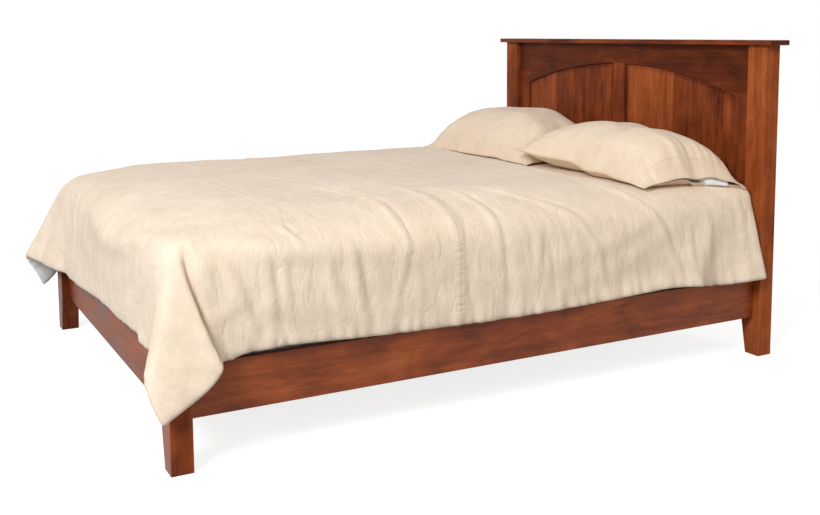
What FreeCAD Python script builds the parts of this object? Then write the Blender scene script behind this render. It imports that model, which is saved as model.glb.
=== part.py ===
import FreeCAD, Part
import math
import os

# Queen bed in the shaker style: panelled headboard, low foot rail, hook-on side rails, slats and bedding.
# Millimetres, +Z up, head towards +Y, right-hand side towards +X.

# Frame
post_width = 89.0
post_depth = 62.0
post_taper = 25.0
post_ease = 2.5
head_post_height = 1103.0

# Side rails and foot rail
rail_thickness = 25.0
rail_height = 146.0
rail_floor_gap = 136.0
rail_setback = 32.0
rail_ease = 2.0
foot_rail_setback = 28.0
foot_rail_extra_drop = 8.0

# Headboard
cap_thickness = 18.0
cap_end_overhang = 33.0
cap_front_overhang = 17.0
cap_back_overhang = 10.0
cap_ease = 3.0
frame_setback = 20.0
frame_thickness = 25.0
stile_width = 75.0
center_stile_width = 70.0
top_rail_crown_height = 81.0
arch_rise = 103.0
bottom_rail_floor_gap = 200.0
bottom_rail_height = 140.0

# Raised panels in their grooves
panel_field_recess = 2.0
panel_bevel_width = 17.0
panel_edge_gap = 0.3
tongue_recess = 8.0
tongue_thickness = 8.0
groove_depth = 9.0

# Tenons and dowels
tenon_length = 30.0
tenon_thickness = 10.0
tenon_shoulder = 20.0
mortise_end_gap = 1.0
dowel_diameter = 10.0
dowel_length = 40.0
dowel_depth_in_cap = 12.0
dowel_spacing = 30.0

# Hook plates of the side rails and slot plates of the posts
plate_width = 17.0
plate_height = 116.0
plate_thickness = 3.0
hook_thickness = 4.0
hook_spacing = 56.0
hook_neck_height = 14.0
hook_lip_drop = 9.0
hook_lip_thickness = 5.0
hook_gap = 0.4
pocket_gap = 2.0
plate_screw_spacing = 52.0

# Screws
screw_diameter = 4.5
screw_head_diameter = 8.5
screw_head_height = 2.4
plate_screw_length = 32.0
cleat_screw_length = 45.0
slat_screw_length = 42.0

# Cleats, slats, centre beam and its legs
cleat_width = 32.0
cleat_height = 34.0
cleat_end_gap = 40.0
cleat_screw_count = 6
cleat_screw_inset = 60.0
slat_count = 8
slat_width = 90.0
slat_thickness = 19.0
slat_end_gap = 4.0
slat_row_inset = 110.0
slat_ease = 3.0
support_top = 185.0
beam_width = 38.0
beam_height = 44.0
leg_width = 45.0
leg_ease = 3.0
leg_floor_gap = 20.0
leg_place_shares = (0.17, 0.5, 0.83)
hanger_bolt_diameter = 8.0
hanger_bolt_length = 60.0
insert_diameter = 12.0
insert_length = 24.0
leveler_pad_diameter = 34.0
leveler_pad_height = 8.0
leveler_pad_ease = 2.0
leveler_stem_diameter = 8.0
leveler_stem_engaged = 26.0
leveler_travel = 10.0

# Foundation and mattress
mattress_width = 1524.0
mattress_length = 2032.0
mattress_height = 254.0
mattress_side_gap = 8.0
mattress_end_gap = 4.0
mattress_corner = 60.0
mattress_edge = 26.0
foundation_height = 127.0
foundation_corner = 40.0
foundation_edge = 10.0

# Duvet
duvet_loft = 33.0
duvet_hem_gap = 2.0
duvet_corner = 60.0
duvet_side_reach = 41.0
duvet_foot_reach = 76.0
duvet_head_gap = 10.0
duvet_head_flare = 34.0
duvet_fold_depth = 15.0
duvet_side_folds = 8
duvet_foot_folds = 6
# Height from hem to top, reach past the mattress, fold depth and head flare, for each level of the drape
duvet_level_shares = (
    (0, 1, 1, 1),
    (0.45, 0.95, 0.6, 0.45),
    (0.81, 0.78, 0, 0),
    (0.955, 0.05, 0, 0),
    (1, -1.8, 0, 0),
)

# Corners of the duvet that hang over the foot posts
ear_depth = 125.0
ear_standoff = 20.0
ear_side_run = 156.0
ear_foot_run = 185.0
ear_reach_right = 48.0
ear_drop_right = 150.0
ear_reach_left = 112.0
ear_drop_left = 105.0
# Height above the hem as a share of the duvet, then inner, standoff, side, reach and foot shares of the ear
ear_upper_shares = ((0.76, 1, -1.6, 0.8, -0.25, 0.8), (0, 1, 1, 1, 1, 1))
# The same below the hem, with the height as a share of the ear's drop
ear_lower_shares = ((-0.5, 0.55, 1, 0.7, 0.85, 0.62), (-1, 0.06, 0.85, 0.14, 0.35, 0.1))
ear_foot_reach_share = 0.5

# Pillows and their cases
pillow_depth = 448.0
pillow_thickness = 185.0
pillow_edge = 8.0
pillow_parting = 14.0
pillow_side_gap = 11.0
pillow_head_gap = 6.0
pillow_upper_share = 0.8
# Place along the pillow, depth and thickness of each section
pillow_section_shares = (
    (-1, 1, 0.13),
    (-0.62, 0.955, 0.76),
    (0, 0.935, 1),
    (0.62, 0.955, 0.76),
    (1, 1, 0.13),
)
case_thickness = 2.5
case_hem_reach = 16.0

# Fits
joint_fit = 0.2
screw_fit = 0.1
running_fit = 0.1
soft_gap = 0.4
drape_gap = 3.0
overrun = 5.0

# Places worked out from the sizes above
mattress_half = mattress_width / 2
rail_length = mattress_length + 2 * mattress_end_gap
rail_inner = mattress_half + mattress_side_gap
rail_outer = rail_inner + rail_thickness
half_width = rail_outer + rail_setback
post_inner = half_width - post_width
rail_top = rail_floor_gap + rail_height
overall_length = ear_reach_left + post_depth + rail_length + post_depth + cap_back_overhang
foot_face = ear_reach_left - overall_length / 2
foot_inner = foot_face + post_depth
head_front = foot_inner + rail_length
head_back = head_front + post_depth
foot_rail_face = foot_face + foot_rail_setback
foot_rail_middle = foot_rail_face + rail_thickness / 2
foot_rail_bottom = rail_floor_gap - foot_rail_extra_drop
frame_front = head_front + frame_setback
frame_back = frame_front + frame_thickness
frame_middle = (frame_front + frame_back) / 2
opening_half = post_inner - stile_width
center_half = center_stile_width / 2
arch_crown = head_post_height - top_rail_crown_height
arch_spring = arch_crown - arch_rise
arch_radius = (opening_half ** 2 + arch_rise ** 2) / (2 * arch_rise)
arch_center = arch_crown - arch_radius
bottom_rail_top = bottom_rail_floor_gap + bottom_rail_height
mortise_end = post_inner + tenon_length + mortise_end_gap
tongue_front = frame_front + tongue_recess
cleat_start = foot_inner + cleat_end_gap
cleat_end = head_front - cleat_end_gap
slat_top = support_top + slat_thickness
slat_half = rail_inner - slat_end_gap
slat_pitch = (rail_length - 2 * slat_row_inset) / (slat_count - 1)
slat_places = [foot_inner + slat_row_inset + i * slat_pitch for i in range(slat_count)]
beam_start = slat_places[0] - slat_width / 2
beam_end = slat_places[-1] + slat_width / 2
beam_bottom = support_top - beam_height
leg_places = [beam_start + share * (beam_end - beam_start) for share in leg_place_shares]
mattress_foot = foot_inner + mattress_end_gap
mattress_head = mattress_foot + mattress_length
mattress_bottom = slat_top + foundation_height
mattress_top = mattress_bottom + mattress_height
duvet_hem = rail_top + duvet_hem_gap
duvet_top = mattress_top + duvet_loft
duvet_height = duvet_top - duvet_hem
duvet_head = head_front - duvet_head_gap
pillow_length = mattress_half - pillow_side_gap - pillow_parting / 2
pillow_back = head_front - pillow_head_gap
pillow_middle = pillow_back - pillow_depth / 2
pillow_bottom = duvet_top + soft_gap + case_thickness + soft_gap
pillow_edge_height = pillow_bottom + (1 - pillow_upper_share) * pillow_thickness


def vec(x, y, z):
    return FreeCAD.Vector(x, y, z)


up = vec(0, 0, 1)
down = vec(0, 0, -1)
outward = vec(1, 0, 0)
to_head = vec(0, 1, 0)
to_foot = vec(0, -1, 0)


def block(x0, x1, y0, y1, z0, z1):
    """Box between two opposite corners."""
    return Part.makeBox(x1 - x0, y1 - y0, z1 - z0, vec(x0, y0, z0))


def rod(radius, length, start, direction):
    return Part.makeCylinder(radius, length, start, direction)


def prism(points, sweep):
    """Solid swept from a closed polygon."""
    return Part.Face(Part.makePolygon(points + points[:1])).extrude(sweep)


def mirrored(shape):
    """Copy on the other side of the bed's middle plane."""
    return shape.mirror(vec(0, 0, 0), vec(1, 0, 0))


def edges_along(shape, axis):
    """Edges that run mainly along one axis: 0 for X, 1 for Y, 2 for Z."""
    picked = []
    for edge in shape.Edges:
        box = edge.BoundBox
        spans = (box.XLength, box.YLength, box.ZLength)
        if spans[axis] == max(spans):
            picked.append(edge)
    return picked


def eased(shape, axis, radius):
    """Rounds the edges that run along one axis."""
    return shape.makeFillet(radius, edges_along(shape, axis))


def level_edges(shape):
    """Edges of the lowest and highest faces."""
    box = shape.BoundBox
    middle = (box.ZMin + box.ZMax) / 2
    picked = []
    for edge in shape.Edges:
        ends = edge.BoundBox
        if ends.ZMin > middle or ends.ZMax < middle:
            picked.append(edge)
    return picked


def screw(head, direction, length, grow):
    """Countersunk screw whose head is flush at a point, or its hole when grown by a fit."""
    shank_radius = screw_diameter / 2 + grow
    cone = Part.makeCone(screw_head_diameter / 2 + grow, shank_radius, screw_head_height, head, direction)
    return cone.fuse(rod(shank_radius, length + grow, head, direction))


def screw_group(heads, direction, length):
    return Part.makeCompound([screw(head, direction, length, 0) for head in heads])


def drilled(shape, heads, direction, length):
    """Shape with a countersunk hole for each screw."""
    for head in heads:
        shape = shape.cut(screw(head, direction, length, screw_fit))
    return shape


# Posts


def post(front, height):
    """Right-hand post, tapered on its inner face below the rails."""
    outline = [
        vec(half_width, front, 0),
        vec(half_width, front, height),
        vec(post_inner, front, height),
        vec(post_inner, front, rail_floor_gap),
        vec(post_inner + post_taper, front, 0),
    ]
    return eased(prism(outline, vec(0, post_depth, 0)), 2, post_ease)


def tenon(middle, low, high):
    """Right-hand tenon of a rail between two heights."""
    half = tenon_thickness / 2
    return block(post_inner, post_inner + tenon_length, middle - half, middle + half,
                 low + tenon_shoulder, high - tenon_shoulder)


def mortise(middle, low, high):
    half = tenon_thickness / 2 + joint_fit
    return block(post_inner - overrun, mortise_end, middle - half, middle + half,
                 low + tenon_shoulder - joint_fit, high - tenon_shoulder + joint_fit)


def with_tenons(rail, middle, low, high):
    right = tenon(middle, low, high)
    return rail.fuse([right, mirrored(right)]).removeSplitter()


# Hook joint, drawn with its joint plane at Y = 0 and the post on the +Y side

joint_x = (rail_inner + rail_outer) / 2
plate_middle = rail_floor_gap + rail_height / 2
plate_low = plate_middle - plate_height / 2
plate_high = plate_middle + plate_height / 2
hook_bottoms = [plate_middle - hook_spacing / 2 - hook_neck_height / 2,
                plate_middle + hook_spacing / 2 - hook_neck_height / 2]
plate_screw_heads = [vec(joint_x, 0, plate_middle - plate_screw_spacing),
                     vec(joint_x, 0, plate_middle),
                     vec(joint_x, 0, plate_middle + plate_screw_spacing)]
lip_start = plate_thickness + hook_gap
lip_end = lip_start + hook_lip_thickness


def plate(grow, start, end):
    half = plate_width / 2 + grow
    return block(joint_x - half, joint_x + half, start, end, plate_low - grow, plate_high + grow)


def hook_plate():
    """Plate in the rail's end, with two hooks that hang in the post's slots."""
    shape = plate(0, -plate_thickness, 0)
    half = hook_thickness / 2
    for bottom in hook_bottoms:
        top = bottom + hook_neck_height
        neck = block(joint_x - half, joint_x + half, 0, lip_end, bottom, top)
        lip = block(joint_x - half, joint_x + half, lip_start, lip_end, bottom - hook_lip_drop, top)
        shape = shape.fuse([neck, lip])
    return drilled(shape.removeSplitter(), plate_screw_heads, to_foot, plate_screw_length)


def slot_plate():
    """Plate in the post's face, with a slot for each hook."""
    shape = plate(0, 0, plate_thickness)
    half = hook_thickness / 2 + joint_fit
    for bottom in hook_bottoms:
        top = bottom + hook_neck_height + hook_lip_drop + joint_fit
        shape = shape.cut(block(joint_x - half, joint_x + half, -overrun, plate_thickness + overrun,
                                bottom - joint_fit, top))
    return drilled(shape, plate_screw_heads, to_head, plate_screw_length)


def post_pocket():
    """Room in the post for the slot plate, its screws and the hooks behind it."""
    half = hook_thickness / 2 + pocket_gap
    low = hook_bottoms[0] - hook_lip_drop - pocket_gap
    high = hook_bottoms[-1] + hook_neck_height + hook_lip_drop + pocket_gap
    room = block(joint_x - half, joint_x + half, 0, lip_end + pocket_gap, low, high)
    holes = [screw(head, to_head, plate_screw_length, screw_fit) for head in plate_screw_heads]
    return plate(joint_fit, -overrun, plate_thickness).fuse([room] + holes)


def rail_pocket():
    holes = [screw(head, to_foot, plate_screw_length, screw_fit) for head in plate_screw_heads]
    return plate(joint_fit, -plate_thickness, overrun).fuse(holes)


def at_head(shape):
    return shape.translated(vec(0, head_front, 0))


def at_foot(shape):
    return shape.mirror(vec(0, 0, 0), vec(0, 1, 0)).translated(vec(0, foot_inner, 0))


# Headboard


def arch_height(x, inset):
    return arch_center + math.sqrt((arch_radius - inset) ** 2 - x ** 2)


def arched_wire(x0, x1, low, inset, y):
    """Outline with a flat foot, upright sides and the headboard's arch on top."""
    middle = (x0 + x1) / 2
    left = vec(x0, y, arch_height(x0, inset))
    crown = vec(middle, y, arch_height(middle, inset))
    right = vec(x1, y, arch_height(x1, inset))
    low_left = vec(x0, y, low)
    low_right = vec(x1, y, low)
    return Part.Wire([
        Part.LineSegment(low_left, left).toShape(),
        Part.Arc(left, crown, right).toShape(),
        Part.LineSegment(right, low_right).toShape(),
        Part.LineSegment(low_right, low_left).toShape(),
    ])


def arched_slab(x0, x1, low, inset, front, back):
    return Part.Face(arched_wire(x0, x1, low, inset, front)).extrude(vec(0, back - front, 0))


def panel_wire(inset, y):
    """Outline of the right-hand panel, drawn in from the frame's edge."""
    return arched_wire(center_half + inset, opening_half - inset, bottom_rail_top + inset, inset, y)


def panel_groove():
    face = Part.Face(panel_wire(-groove_depth, tongue_front - joint_fit))
    right = face.extrude(vec(0, tongue_thickness + 2 * joint_fit, 0))
    return right.fuse(mirrored(right))


def headboard_panel():
    """Right-hand raised panel: a tongue all round and a bevelled field in front of it."""
    tongue_face = Part.Face(panel_wire(panel_edge_gap - groove_depth, tongue_front))
    tongue = tongue_face.extrude(vec(0, tongue_thickness, 0))
    field_front = frame_front + panel_field_recess
    bevel = [panel_wire(panel_edge_gap, tongue_front), panel_wire(panel_bevel_width, field_front)]
    return tongue.fuse(Part.makeLoft(bevel, True, True)).removeSplitter()


def headboard_top_rail():
    rail = block(-post_inner, post_inner, frame_front, frame_back, arch_spring, head_post_height)
    arch = arched_slab(-opening_half, opening_half, arch_spring - overrun, 0,
                       frame_front - overrun, frame_back + overrun)
    rail = with_tenons(rail.cut(arch), frame_middle, arch_spring, head_post_height)
    return rail.cut(panel_groove())


def headboard_bottom_rail():
    rail = block(-post_inner, post_inner, frame_front, frame_back, bottom_rail_floor_gap, bottom_rail_top)
    rail = with_tenons(rail, frame_middle, bottom_rail_floor_gap, bottom_rail_top)
    return rail.cut(panel_groove())


def headboard_stile():
    stile = block(opening_half, post_inner, frame_front, frame_back, bottom_rail_top, arch_spring)
    return stile.cut(panel_groove())


def headboard_center_stile():
    stile = arched_slab(-center_half, center_half, bottom_rail_top, 0, frame_front, frame_back)
    return stile.cut(panel_groove())


def headboard_cap():
    end = half_width + cap_end_overhang
    cap = block(-end, end, head_front - cap_front_overhang, head_back + cap_back_overhang,
                head_post_height, head_post_height + cap_thickness)
    cap = cap.makeFillet(cap_ease, cap.Edges)
    for hole in cap_dowels(joint_fit):
        cap = cap.cut(hole)
    return cap


def cap_dowels(grow):
    """Dowels between the posts and the cap, or their holes when grown by a fit."""
    low = head_post_height + dowel_depth_in_cap - dowel_length
    middle = (head_front + head_back) / 2
    x = (mortise_end + half_width) / 2
    dowels = []
    for y in (middle - dowel_spacing / 2, middle + dowel_spacing / 2):
        dowel = rod(dowel_diameter / 2 + grow, dowel_length + 2 * grow, vec(x, y, low - grow), up)
        dowels += [dowel, mirrored(dowel)]
    return dowels


def headboard_post():
    shape = post(head_front, head_post_height)
    shape = shape.cut(mortise(frame_middle, arch_spring, head_post_height))
    shape = shape.cut(mortise(frame_middle, bottom_rail_floor_gap, bottom_rail_top))
    shape = shape.cut(at_head(post_pocket()))
    return shape.cut(Part.makeCompound(cap_dowels(joint_fit)))


# Foot end and side rails


def foot_rail():
    back = foot_rail_face + rail_thickness
    rail = block(-post_inner, post_inner, foot_rail_face, back, foot_rail_bottom, rail_top)
    return with_tenons(eased(rail, 0, rail_ease), foot_rail_middle, foot_rail_bottom, rail_top)


def foot_post():
    shape = post(foot_face, rail_top).cut(mortise(foot_rail_middle, foot_rail_bottom, rail_top))
    return shape.cut(at_foot(post_pocket()))


def cleat_screw_heads():
    """Screw places on the inner face of the right-hand cleat."""
    first = cleat_start + cleat_screw_inset
    pitch = (cleat_end - cleat_start - 2 * cleat_screw_inset) / (cleat_screw_count - 1)
    height = support_top - cleat_height / 2
    return [vec(rail_inner - cleat_width, first + i * pitch, height) for i in range(cleat_screw_count)]


def side_rail():
    rail = block(rail_inner, rail_outer, foot_inner, head_front, rail_floor_gap, rail_top)
    rail = eased(rail, 1, rail_ease)
    rail = rail.cut(at_head(rail_pocket())).cut(at_foot(rail_pocket()))
    return drilled(rail, cleat_screw_heads(), outward, cleat_screw_length)


# Slats and their support


def slat_screw_heads():
    """Screw places at the right-hand end of each slat."""
    x = rail_inner - cleat_width / 2
    return [vec(x, place, slat_top) for place in slat_places]


def beam_screw_heads():
    return [vec(0, place, slat_top) for place in slat_places]


def cleat():
    bottom = support_top - cleat_height
    shape = block(rail_inner - cleat_width, rail_inner, cleat_start, cleat_end, bottom, support_top)
    shape = drilled(shape, cleat_screw_heads(), outward, cleat_screw_length)
    return drilled(shape, slat_screw_heads(), down, slat_screw_length)


def slat(index):
    start = slat_places[index] - slat_width / 2
    shape = block(-slat_half, slat_half, start, start + slat_width, support_top, slat_top)
    shape = eased(shape, 0, slat_ease)
    right = slat_screw_heads()[index]
    left = vec(-right.x, right.y, right.z)
    return drilled(shape, [left, beam_screw_heads()[index], right], down, slat_screw_length)


def hanger_bolt(place, grow):
    """Bolt between a leg and the beam, or its hole when grown by a fit."""
    low = beam_bottom - hanger_bolt_length / 2
    start = vec(0, place, low - grow)
    return rod(hanger_bolt_diameter / 2 + grow, hanger_bolt_length + 2 * grow, start, up)


def center_beam():
    half = beam_width / 2
    beam = block(-half, half, beam_start, beam_end, beam_bottom, support_top)
    for place in leg_places:
        beam = beam.cut(hanger_bolt(place, joint_fit))
    return drilled(beam, beam_screw_heads(), down, slat_screw_length)


def center_leg(place):
    """Square leg with a hole from below for the insert and for the stem at its highest."""
    half = leg_width / 2
    leg = eased(block(-half, half, place - half, place + half, leg_floor_gap, beam_bottom), 2, leg_ease)
    foot = vec(0, place, leg_floor_gap)
    socket = rod(insert_diameter / 2 + joint_fit, insert_length, foot, up)
    stem_depth = leveler_stem_engaged + leveler_travel + mortise_end_gap
    stem_room = rod(leveler_stem_diameter / 2 + running_fit, stem_depth, foot, up)
    return leg.cut(socket).cut(stem_room).cut(hanger_bolt(place, joint_fit))


def leg_insert(place):
    """Threaded sleeve in the foot of a leg."""
    start = vec(0, place, leg_floor_gap)
    sleeve = rod(insert_diameter / 2, insert_length, start, up)
    return sleeve.cut(rod(leveler_stem_diameter / 2 + running_fit, insert_length, start, up))


def leveler(place):
    """Round pad on a stem that screws up into the leg."""
    pad = rod(leveler_pad_diameter / 2, leveler_pad_height, vec(0, place, 0), up)
    pad = pad.makeFillet(leveler_pad_ease, level_edges(pad))
    stem_length = leg_floor_gap + leveler_stem_engaged - leveler_pad_height
    stem = rod(leveler_stem_diameter / 2, stem_length, vec(0, place, leveler_pad_height), up)
    return pad.fuse(stem)


# Foundation and mattress


def mattress_block(bottom, top, corner, edge):
    shape = block(-mattress_half, mattress_half, mattress_foot, mattress_head, bottom, top)
    shape = eased(shape, 2, corner)
    return shape.makeFillet(edge, level_edges(shape))


# Duvet


def folded_run(start, end, way, count, depth):
    """Edges of a run of cloth that stands out in a row of round folds."""
    edges = []
    for i in range(count):
        first = start + (end - start) * (i / count)
        last = start + (end - start) * ((i + 1) / count)
        crest = (first + last) / 2 + way * depth
        if depth > 0:
            edges.append(Part.Arc(first, crest, last).toShape())
        else:
            edges.append(Part.LineSegment(first, last).toShape())
    return edges


def duvet_outline(height_share, reach_share, fold_share, flare_share):
    """Outline of the drape at one level, open to the headboard behind a straight edge."""
    z = duvet_hem + height_share * duvet_height
    side = mattress_half + reach_share * duvet_side_reach
    foot = mattress_foot - reach_share * duvet_foot_reach
    head_side = side + flare_share * duvet_head_flare
    depth = fold_share * duvet_fold_depth
    cut_in = duvet_corner * (1 - math.cos(math.radians(45)))
    right = folded_run(vec(head_side, duvet_head, z), vec(side, foot + duvet_corner, z),
                       outward, duvet_side_folds, depth)
    right_corner = Part.Arc(vec(side, foot + duvet_corner, z), vec(side - cut_in, foot + cut_in, z),
                            vec(side - duvet_corner, foot, z)).toShape()
    across = folded_run(vec(side - duvet_corner, foot, z), vec(duvet_corner - side, foot, z),
                        to_foot, duvet_foot_folds, depth)
    left_corner = Part.Arc(vec(duvet_corner - side, foot, z), vec(cut_in - side, foot + cut_in, z),
                           vec(-side, foot + duvet_corner, z)).toShape()
    left = folded_run(vec(-side, foot + duvet_corner, z), vec(-head_side, duvet_head, z),
                      -outward, duvet_side_folds, depth)
    head = Part.LineSegment(vec(-head_side, duvet_head, z), vec(head_side, duvet_head, z)).toShape()
    return Part.Wire(right + [right_corner] + across + [left_corner] + left + [head])


def ear_outline(z, inner_share, standoff_share, side_share, reach_share, foot_share, reach):
    """Four-sided section of a hanging corner, about the right-hand foot post's outer corner."""
    side_x = half_width + standoff_share * ear_standoff
    front = foot_face - reach_share * reach
    foot_front = foot_face - ear_foot_reach_share * reach_share * reach
    points = [
        vec(half_width - inner_share * ear_depth, foot_face + inner_share * ear_depth, z),
        vec(side_x, foot_face + side_share * ear_side_run, z),
        vec(side_x, front, z),
        vec(half_width - foot_share * ear_foot_run, foot_front, z),
    ]
    return Part.makePolygon(points + points[:1])


def ear(reach, drop):
    """Right-hand foot corner of the duvet, hanging outside the post and the rails."""
    outlines = []
    for height_share, *shares in ear_upper_shares:
        outlines.append(ear_outline(duvet_hem + height_share * duvet_height, *shares, reach))
    for height_share, *shares in ear_lower_shares:
        outlines.append(ear_outline(duvet_hem + height_share * drop, *shares, reach))
    shape = Part.makeLoft(outlines, True, True)
    rails = block(0, rail_outer + drape_gap, foot_rail_face - drape_gap, head_front, 0, duvet_hem)
    side = half_width + drape_gap
    corner_post = block(0, side, foot_face - drape_gap, foot_inner + drape_gap, 0, duvet_hem)
    return shape.cut([rails, corner_post])


def duvet():
    drape = Part.makeLoft([duvet_outline(*shares) for shares in duvet_level_shares], True, True)
    whole = drape.fuse([ear(ear_reach_right, ear_drop_right), mirrored(ear(ear_reach_left, ear_drop_left))])
    side = mattress_half + drape_gap
    room = block(-side, side, mattress_foot - drape_gap, head_back, 0, mattress_top + soft_gap)
    room = eased(room, 2, foundation_corner)
    return whole.cut(room).removeSplitter()


# Pillows


def pillow_section(x, depth_share, thickness_share, grow):
    """Section across a pillow: thin front and back edges under a crown, with a shallow belly."""
    half = depth_share * pillow_depth / 2 + grow
    edge = pillow_edge / 2 + grow
    rise = thickness_share * pillow_upper_share * pillow_thickness + grow
    fall = thickness_share * (1 - pillow_upper_share) * pillow_thickness + grow
    front = pillow_middle - half
    back = pillow_middle + half
    front_low = vec(x, front, pillow_edge_height - edge)
    front_high = vec(x, front, pillow_edge_height + edge)
    back_low = vec(x, back, pillow_edge_height - edge)
    back_high = vec(x, back, pillow_edge_height + edge)
    crown = vec(x, pillow_middle, pillow_edge_height + rise)
    belly = vec(x, pillow_middle, pillow_edge_height - fall)
    return Part.Wire([
        Part.LineSegment(front_low, front_high).toShape(),
        Part.Arc(front_high, crown, back_high).toShape(),
        Part.LineSegment(back_high, back_low).toShape(),
        Part.Arc(back_low, belly, front_low).toShape(),
    ])


def pillow_sections(grow):
    """Sections of the right-hand pillow from its inner end to its outer end."""
    center = (pillow_parting + pillow_length) / 2
    sections = []
    for place_share, depth_share, thickness_share in pillow_section_shares:
        x = center + place_share * pillow_length / 2
        sections.append(pillow_section(x, depth_share, thickness_share, grow))
    return sections


def pillow_insert():
    return Part.makeLoft(pillow_sections(0), True, False)


def case_form(grow, hem_reach):
    """Pillow form grown by a gap, carried straight past the pillow's two ends."""
    sections = pillow_sections(grow)
    inner_end = Part.Face(sections[0]).extrude(vec(-grow, 0, 0))
    outer_end = Part.Face(sections[-1]).extrude(vec(hem_reach, 0, 0))
    return Part.makeLoft(sections, True, False).fuse([inner_end, outer_end])


def pillowcase():
    """Case round the pillow, open at its outer end."""
    outer = case_form(soft_gap + case_thickness, case_hem_reach)
    return outer.cut(case_form(soft_gap, case_hem_reach + overrun))


# Assembly

parts = {}


def add_pair(name, shape):
    """A right-hand piece and its mirror image."""
    parts[name + "_right"] = shape
    parts[name + "_left"] = mirrored(shape)


add_pair("headboard_post", headboard_post())
parts["headboard_cap"] = headboard_cap()
parts["headboard_top_rail"] = headboard_top_rail()
parts["headboard_bottom_rail"] = headboard_bottom_rail()
add_pair("headboard_stile", headboard_stile())
parts["headboard_stile_center"] = headboard_center_stile()
add_pair("headboard_panel", headboard_panel())
parts["cap_dowels"] = Part.makeCompound(cap_dowels(0))
add_pair("foot_post", foot_post())
parts["foot_rail"] = foot_rail()
add_pair("side_rail", side_rail())

add_pair("head_hook_plate", at_head(hook_plate()))
add_pair("foot_hook_plate", at_foot(hook_plate()))
add_pair("head_slot_plate", at_head(slot_plate()))
add_pair("foot_slot_plate", at_foot(slot_plate()))
hook_screws = screw_group(plate_screw_heads, to_foot, plate_screw_length)
slot_screws = screw_group(plate_screw_heads, to_head, plate_screw_length)
for name, group in (("hook_plate_screws", hook_screws), ("slot_plate_screws", slot_screws)):
    right = Part.makeCompound([at_head(group), at_foot(group)])
    parts[name] = Part.makeCompound([right, mirrored(right)])

add_pair("cleat", cleat())
cleat_screws = screw_group(cleat_screw_heads(), outward, cleat_screw_length)
parts["cleat_screws"] = Part.makeCompound([cleat_screws, mirrored(cleat_screws)])
for index in range(slat_count):
    parts["slat_%d" % (index + 1)] = slat(index)
slat_screws = screw_group(slat_screw_heads(), down, slat_screw_length)
parts["slat_screws"] = Part.makeCompound([slat_screws, mirrored(slat_screws)])
parts["beam_screws"] = screw_group(beam_screw_heads(), down, slat_screw_length)
parts["center_beam"] = center_beam()
parts["leg_bolts"] = Part.makeCompound([hanger_bolt(place, 0) for place in leg_places])
parts["leg_inserts"] = Part.makeCompound([leg_insert(place) for place in leg_places])
for number, place in enumerate(leg_places, 1):
    parts["center_leg_%d" % number] = center_leg(place)
    parts["leveler_%d" % number] = leveler(place)

parts["foundation"] = mattress_block(slat_top, mattress_bottom, foundation_corner, foundation_edge)
parts["mattress"] = mattress_block(mattress_bottom, mattress_top, mattress_corner, mattress_edge)
parts["duvet"] = duvet()
add_pair("pillow_insert", pillow_insert())
add_pair("pillowcase", pillowcase())

os.makedirs("parts", exist_ok=True)
for name, shape in parts.items():
    shape.exportStep("parts/%s.step" % name)
    print(name, len(shape.Solids), shape.isValid(), round(shape.Volume))
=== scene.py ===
import math

import bpy
import numpy as np
from mathutils import Matrix, Vector


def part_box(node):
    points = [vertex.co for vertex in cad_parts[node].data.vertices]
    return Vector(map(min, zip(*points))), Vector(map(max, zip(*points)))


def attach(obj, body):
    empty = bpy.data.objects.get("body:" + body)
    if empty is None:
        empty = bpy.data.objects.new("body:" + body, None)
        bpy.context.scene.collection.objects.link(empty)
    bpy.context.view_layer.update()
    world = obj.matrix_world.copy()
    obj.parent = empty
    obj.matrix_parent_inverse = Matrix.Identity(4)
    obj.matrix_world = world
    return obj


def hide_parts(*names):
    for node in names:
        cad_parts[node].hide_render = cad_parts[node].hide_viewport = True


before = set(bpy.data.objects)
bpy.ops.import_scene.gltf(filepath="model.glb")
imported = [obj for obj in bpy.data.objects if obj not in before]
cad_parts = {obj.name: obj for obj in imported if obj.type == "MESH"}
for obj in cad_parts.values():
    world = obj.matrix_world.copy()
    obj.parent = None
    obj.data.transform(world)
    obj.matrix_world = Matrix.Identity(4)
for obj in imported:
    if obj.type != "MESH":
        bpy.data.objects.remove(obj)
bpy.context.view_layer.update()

# Bed sizes in metres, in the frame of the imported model
RAIL_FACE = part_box("side_rail_right")[1][0]
FOOT_RAIL_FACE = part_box("foot_rail")[0][1]
FOOT_POST_LOW, FOOT_POST_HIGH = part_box("foot_post_right")
HEAD_POST_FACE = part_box("headboard_post_right")[0][1]

# Duvet: flat cut, thickness and where it bends over the mattress
DUVET_WIDTH = 2.163
DUVET_LENGTH = 2.372
DUVET_THICK = 0.018
DUVET_CELL = 0.0168
DUVET_LEVEL = 0.613
SIDE_BEND_AT = 0.728
FOOT_BEND_AT = -0.945
FOOT_DROP = 0.364
HEAD_SINK = 0.012
HEAD_SINK_FROM = 1.914
HEAD_SINK_RUN = 0.32
HEAD_ROUND = 0.016
BEND_RUN = 0.13
FAR_EASE = 0.065
FAR_FROM = 0.15
FAR_OVER = 0.75
FAR_RUN = 0.07
CORNER_DROOP = 0.010
DUVET_GAP = 0.002
DUVET_CROWN = 0.025
SEAM_AT = 1.164
DUVET_FRAMES = 14

# Pillowcases: flat cut, the slack margin round the filling, and their place
CASE_LENGTH = 0.81
CASE_DEPTH = 0.55
CASE_CELL = 0.0125
CASE_THICK = 0.0025
CASE_MARGIN = 0.036
CASE_CORNER = 0.018
HEM_BAND = 0.045
PILLOW_FRAMES = 14
PILLOW_PRESSURE = 4.0
PILLOW_SWELL = 0.022
PILLOW_GAP = 0.004
UNDER_SHARE = 0.25
PILLOW_CROWN = {"left": 0.170, "right": 0.140}
INSERT_FROM_HEM = 0.034
INSERT_GAP = 0.002
MOUTH_BACK = 0.055
MOUTH_LIFT = 0.014

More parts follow.
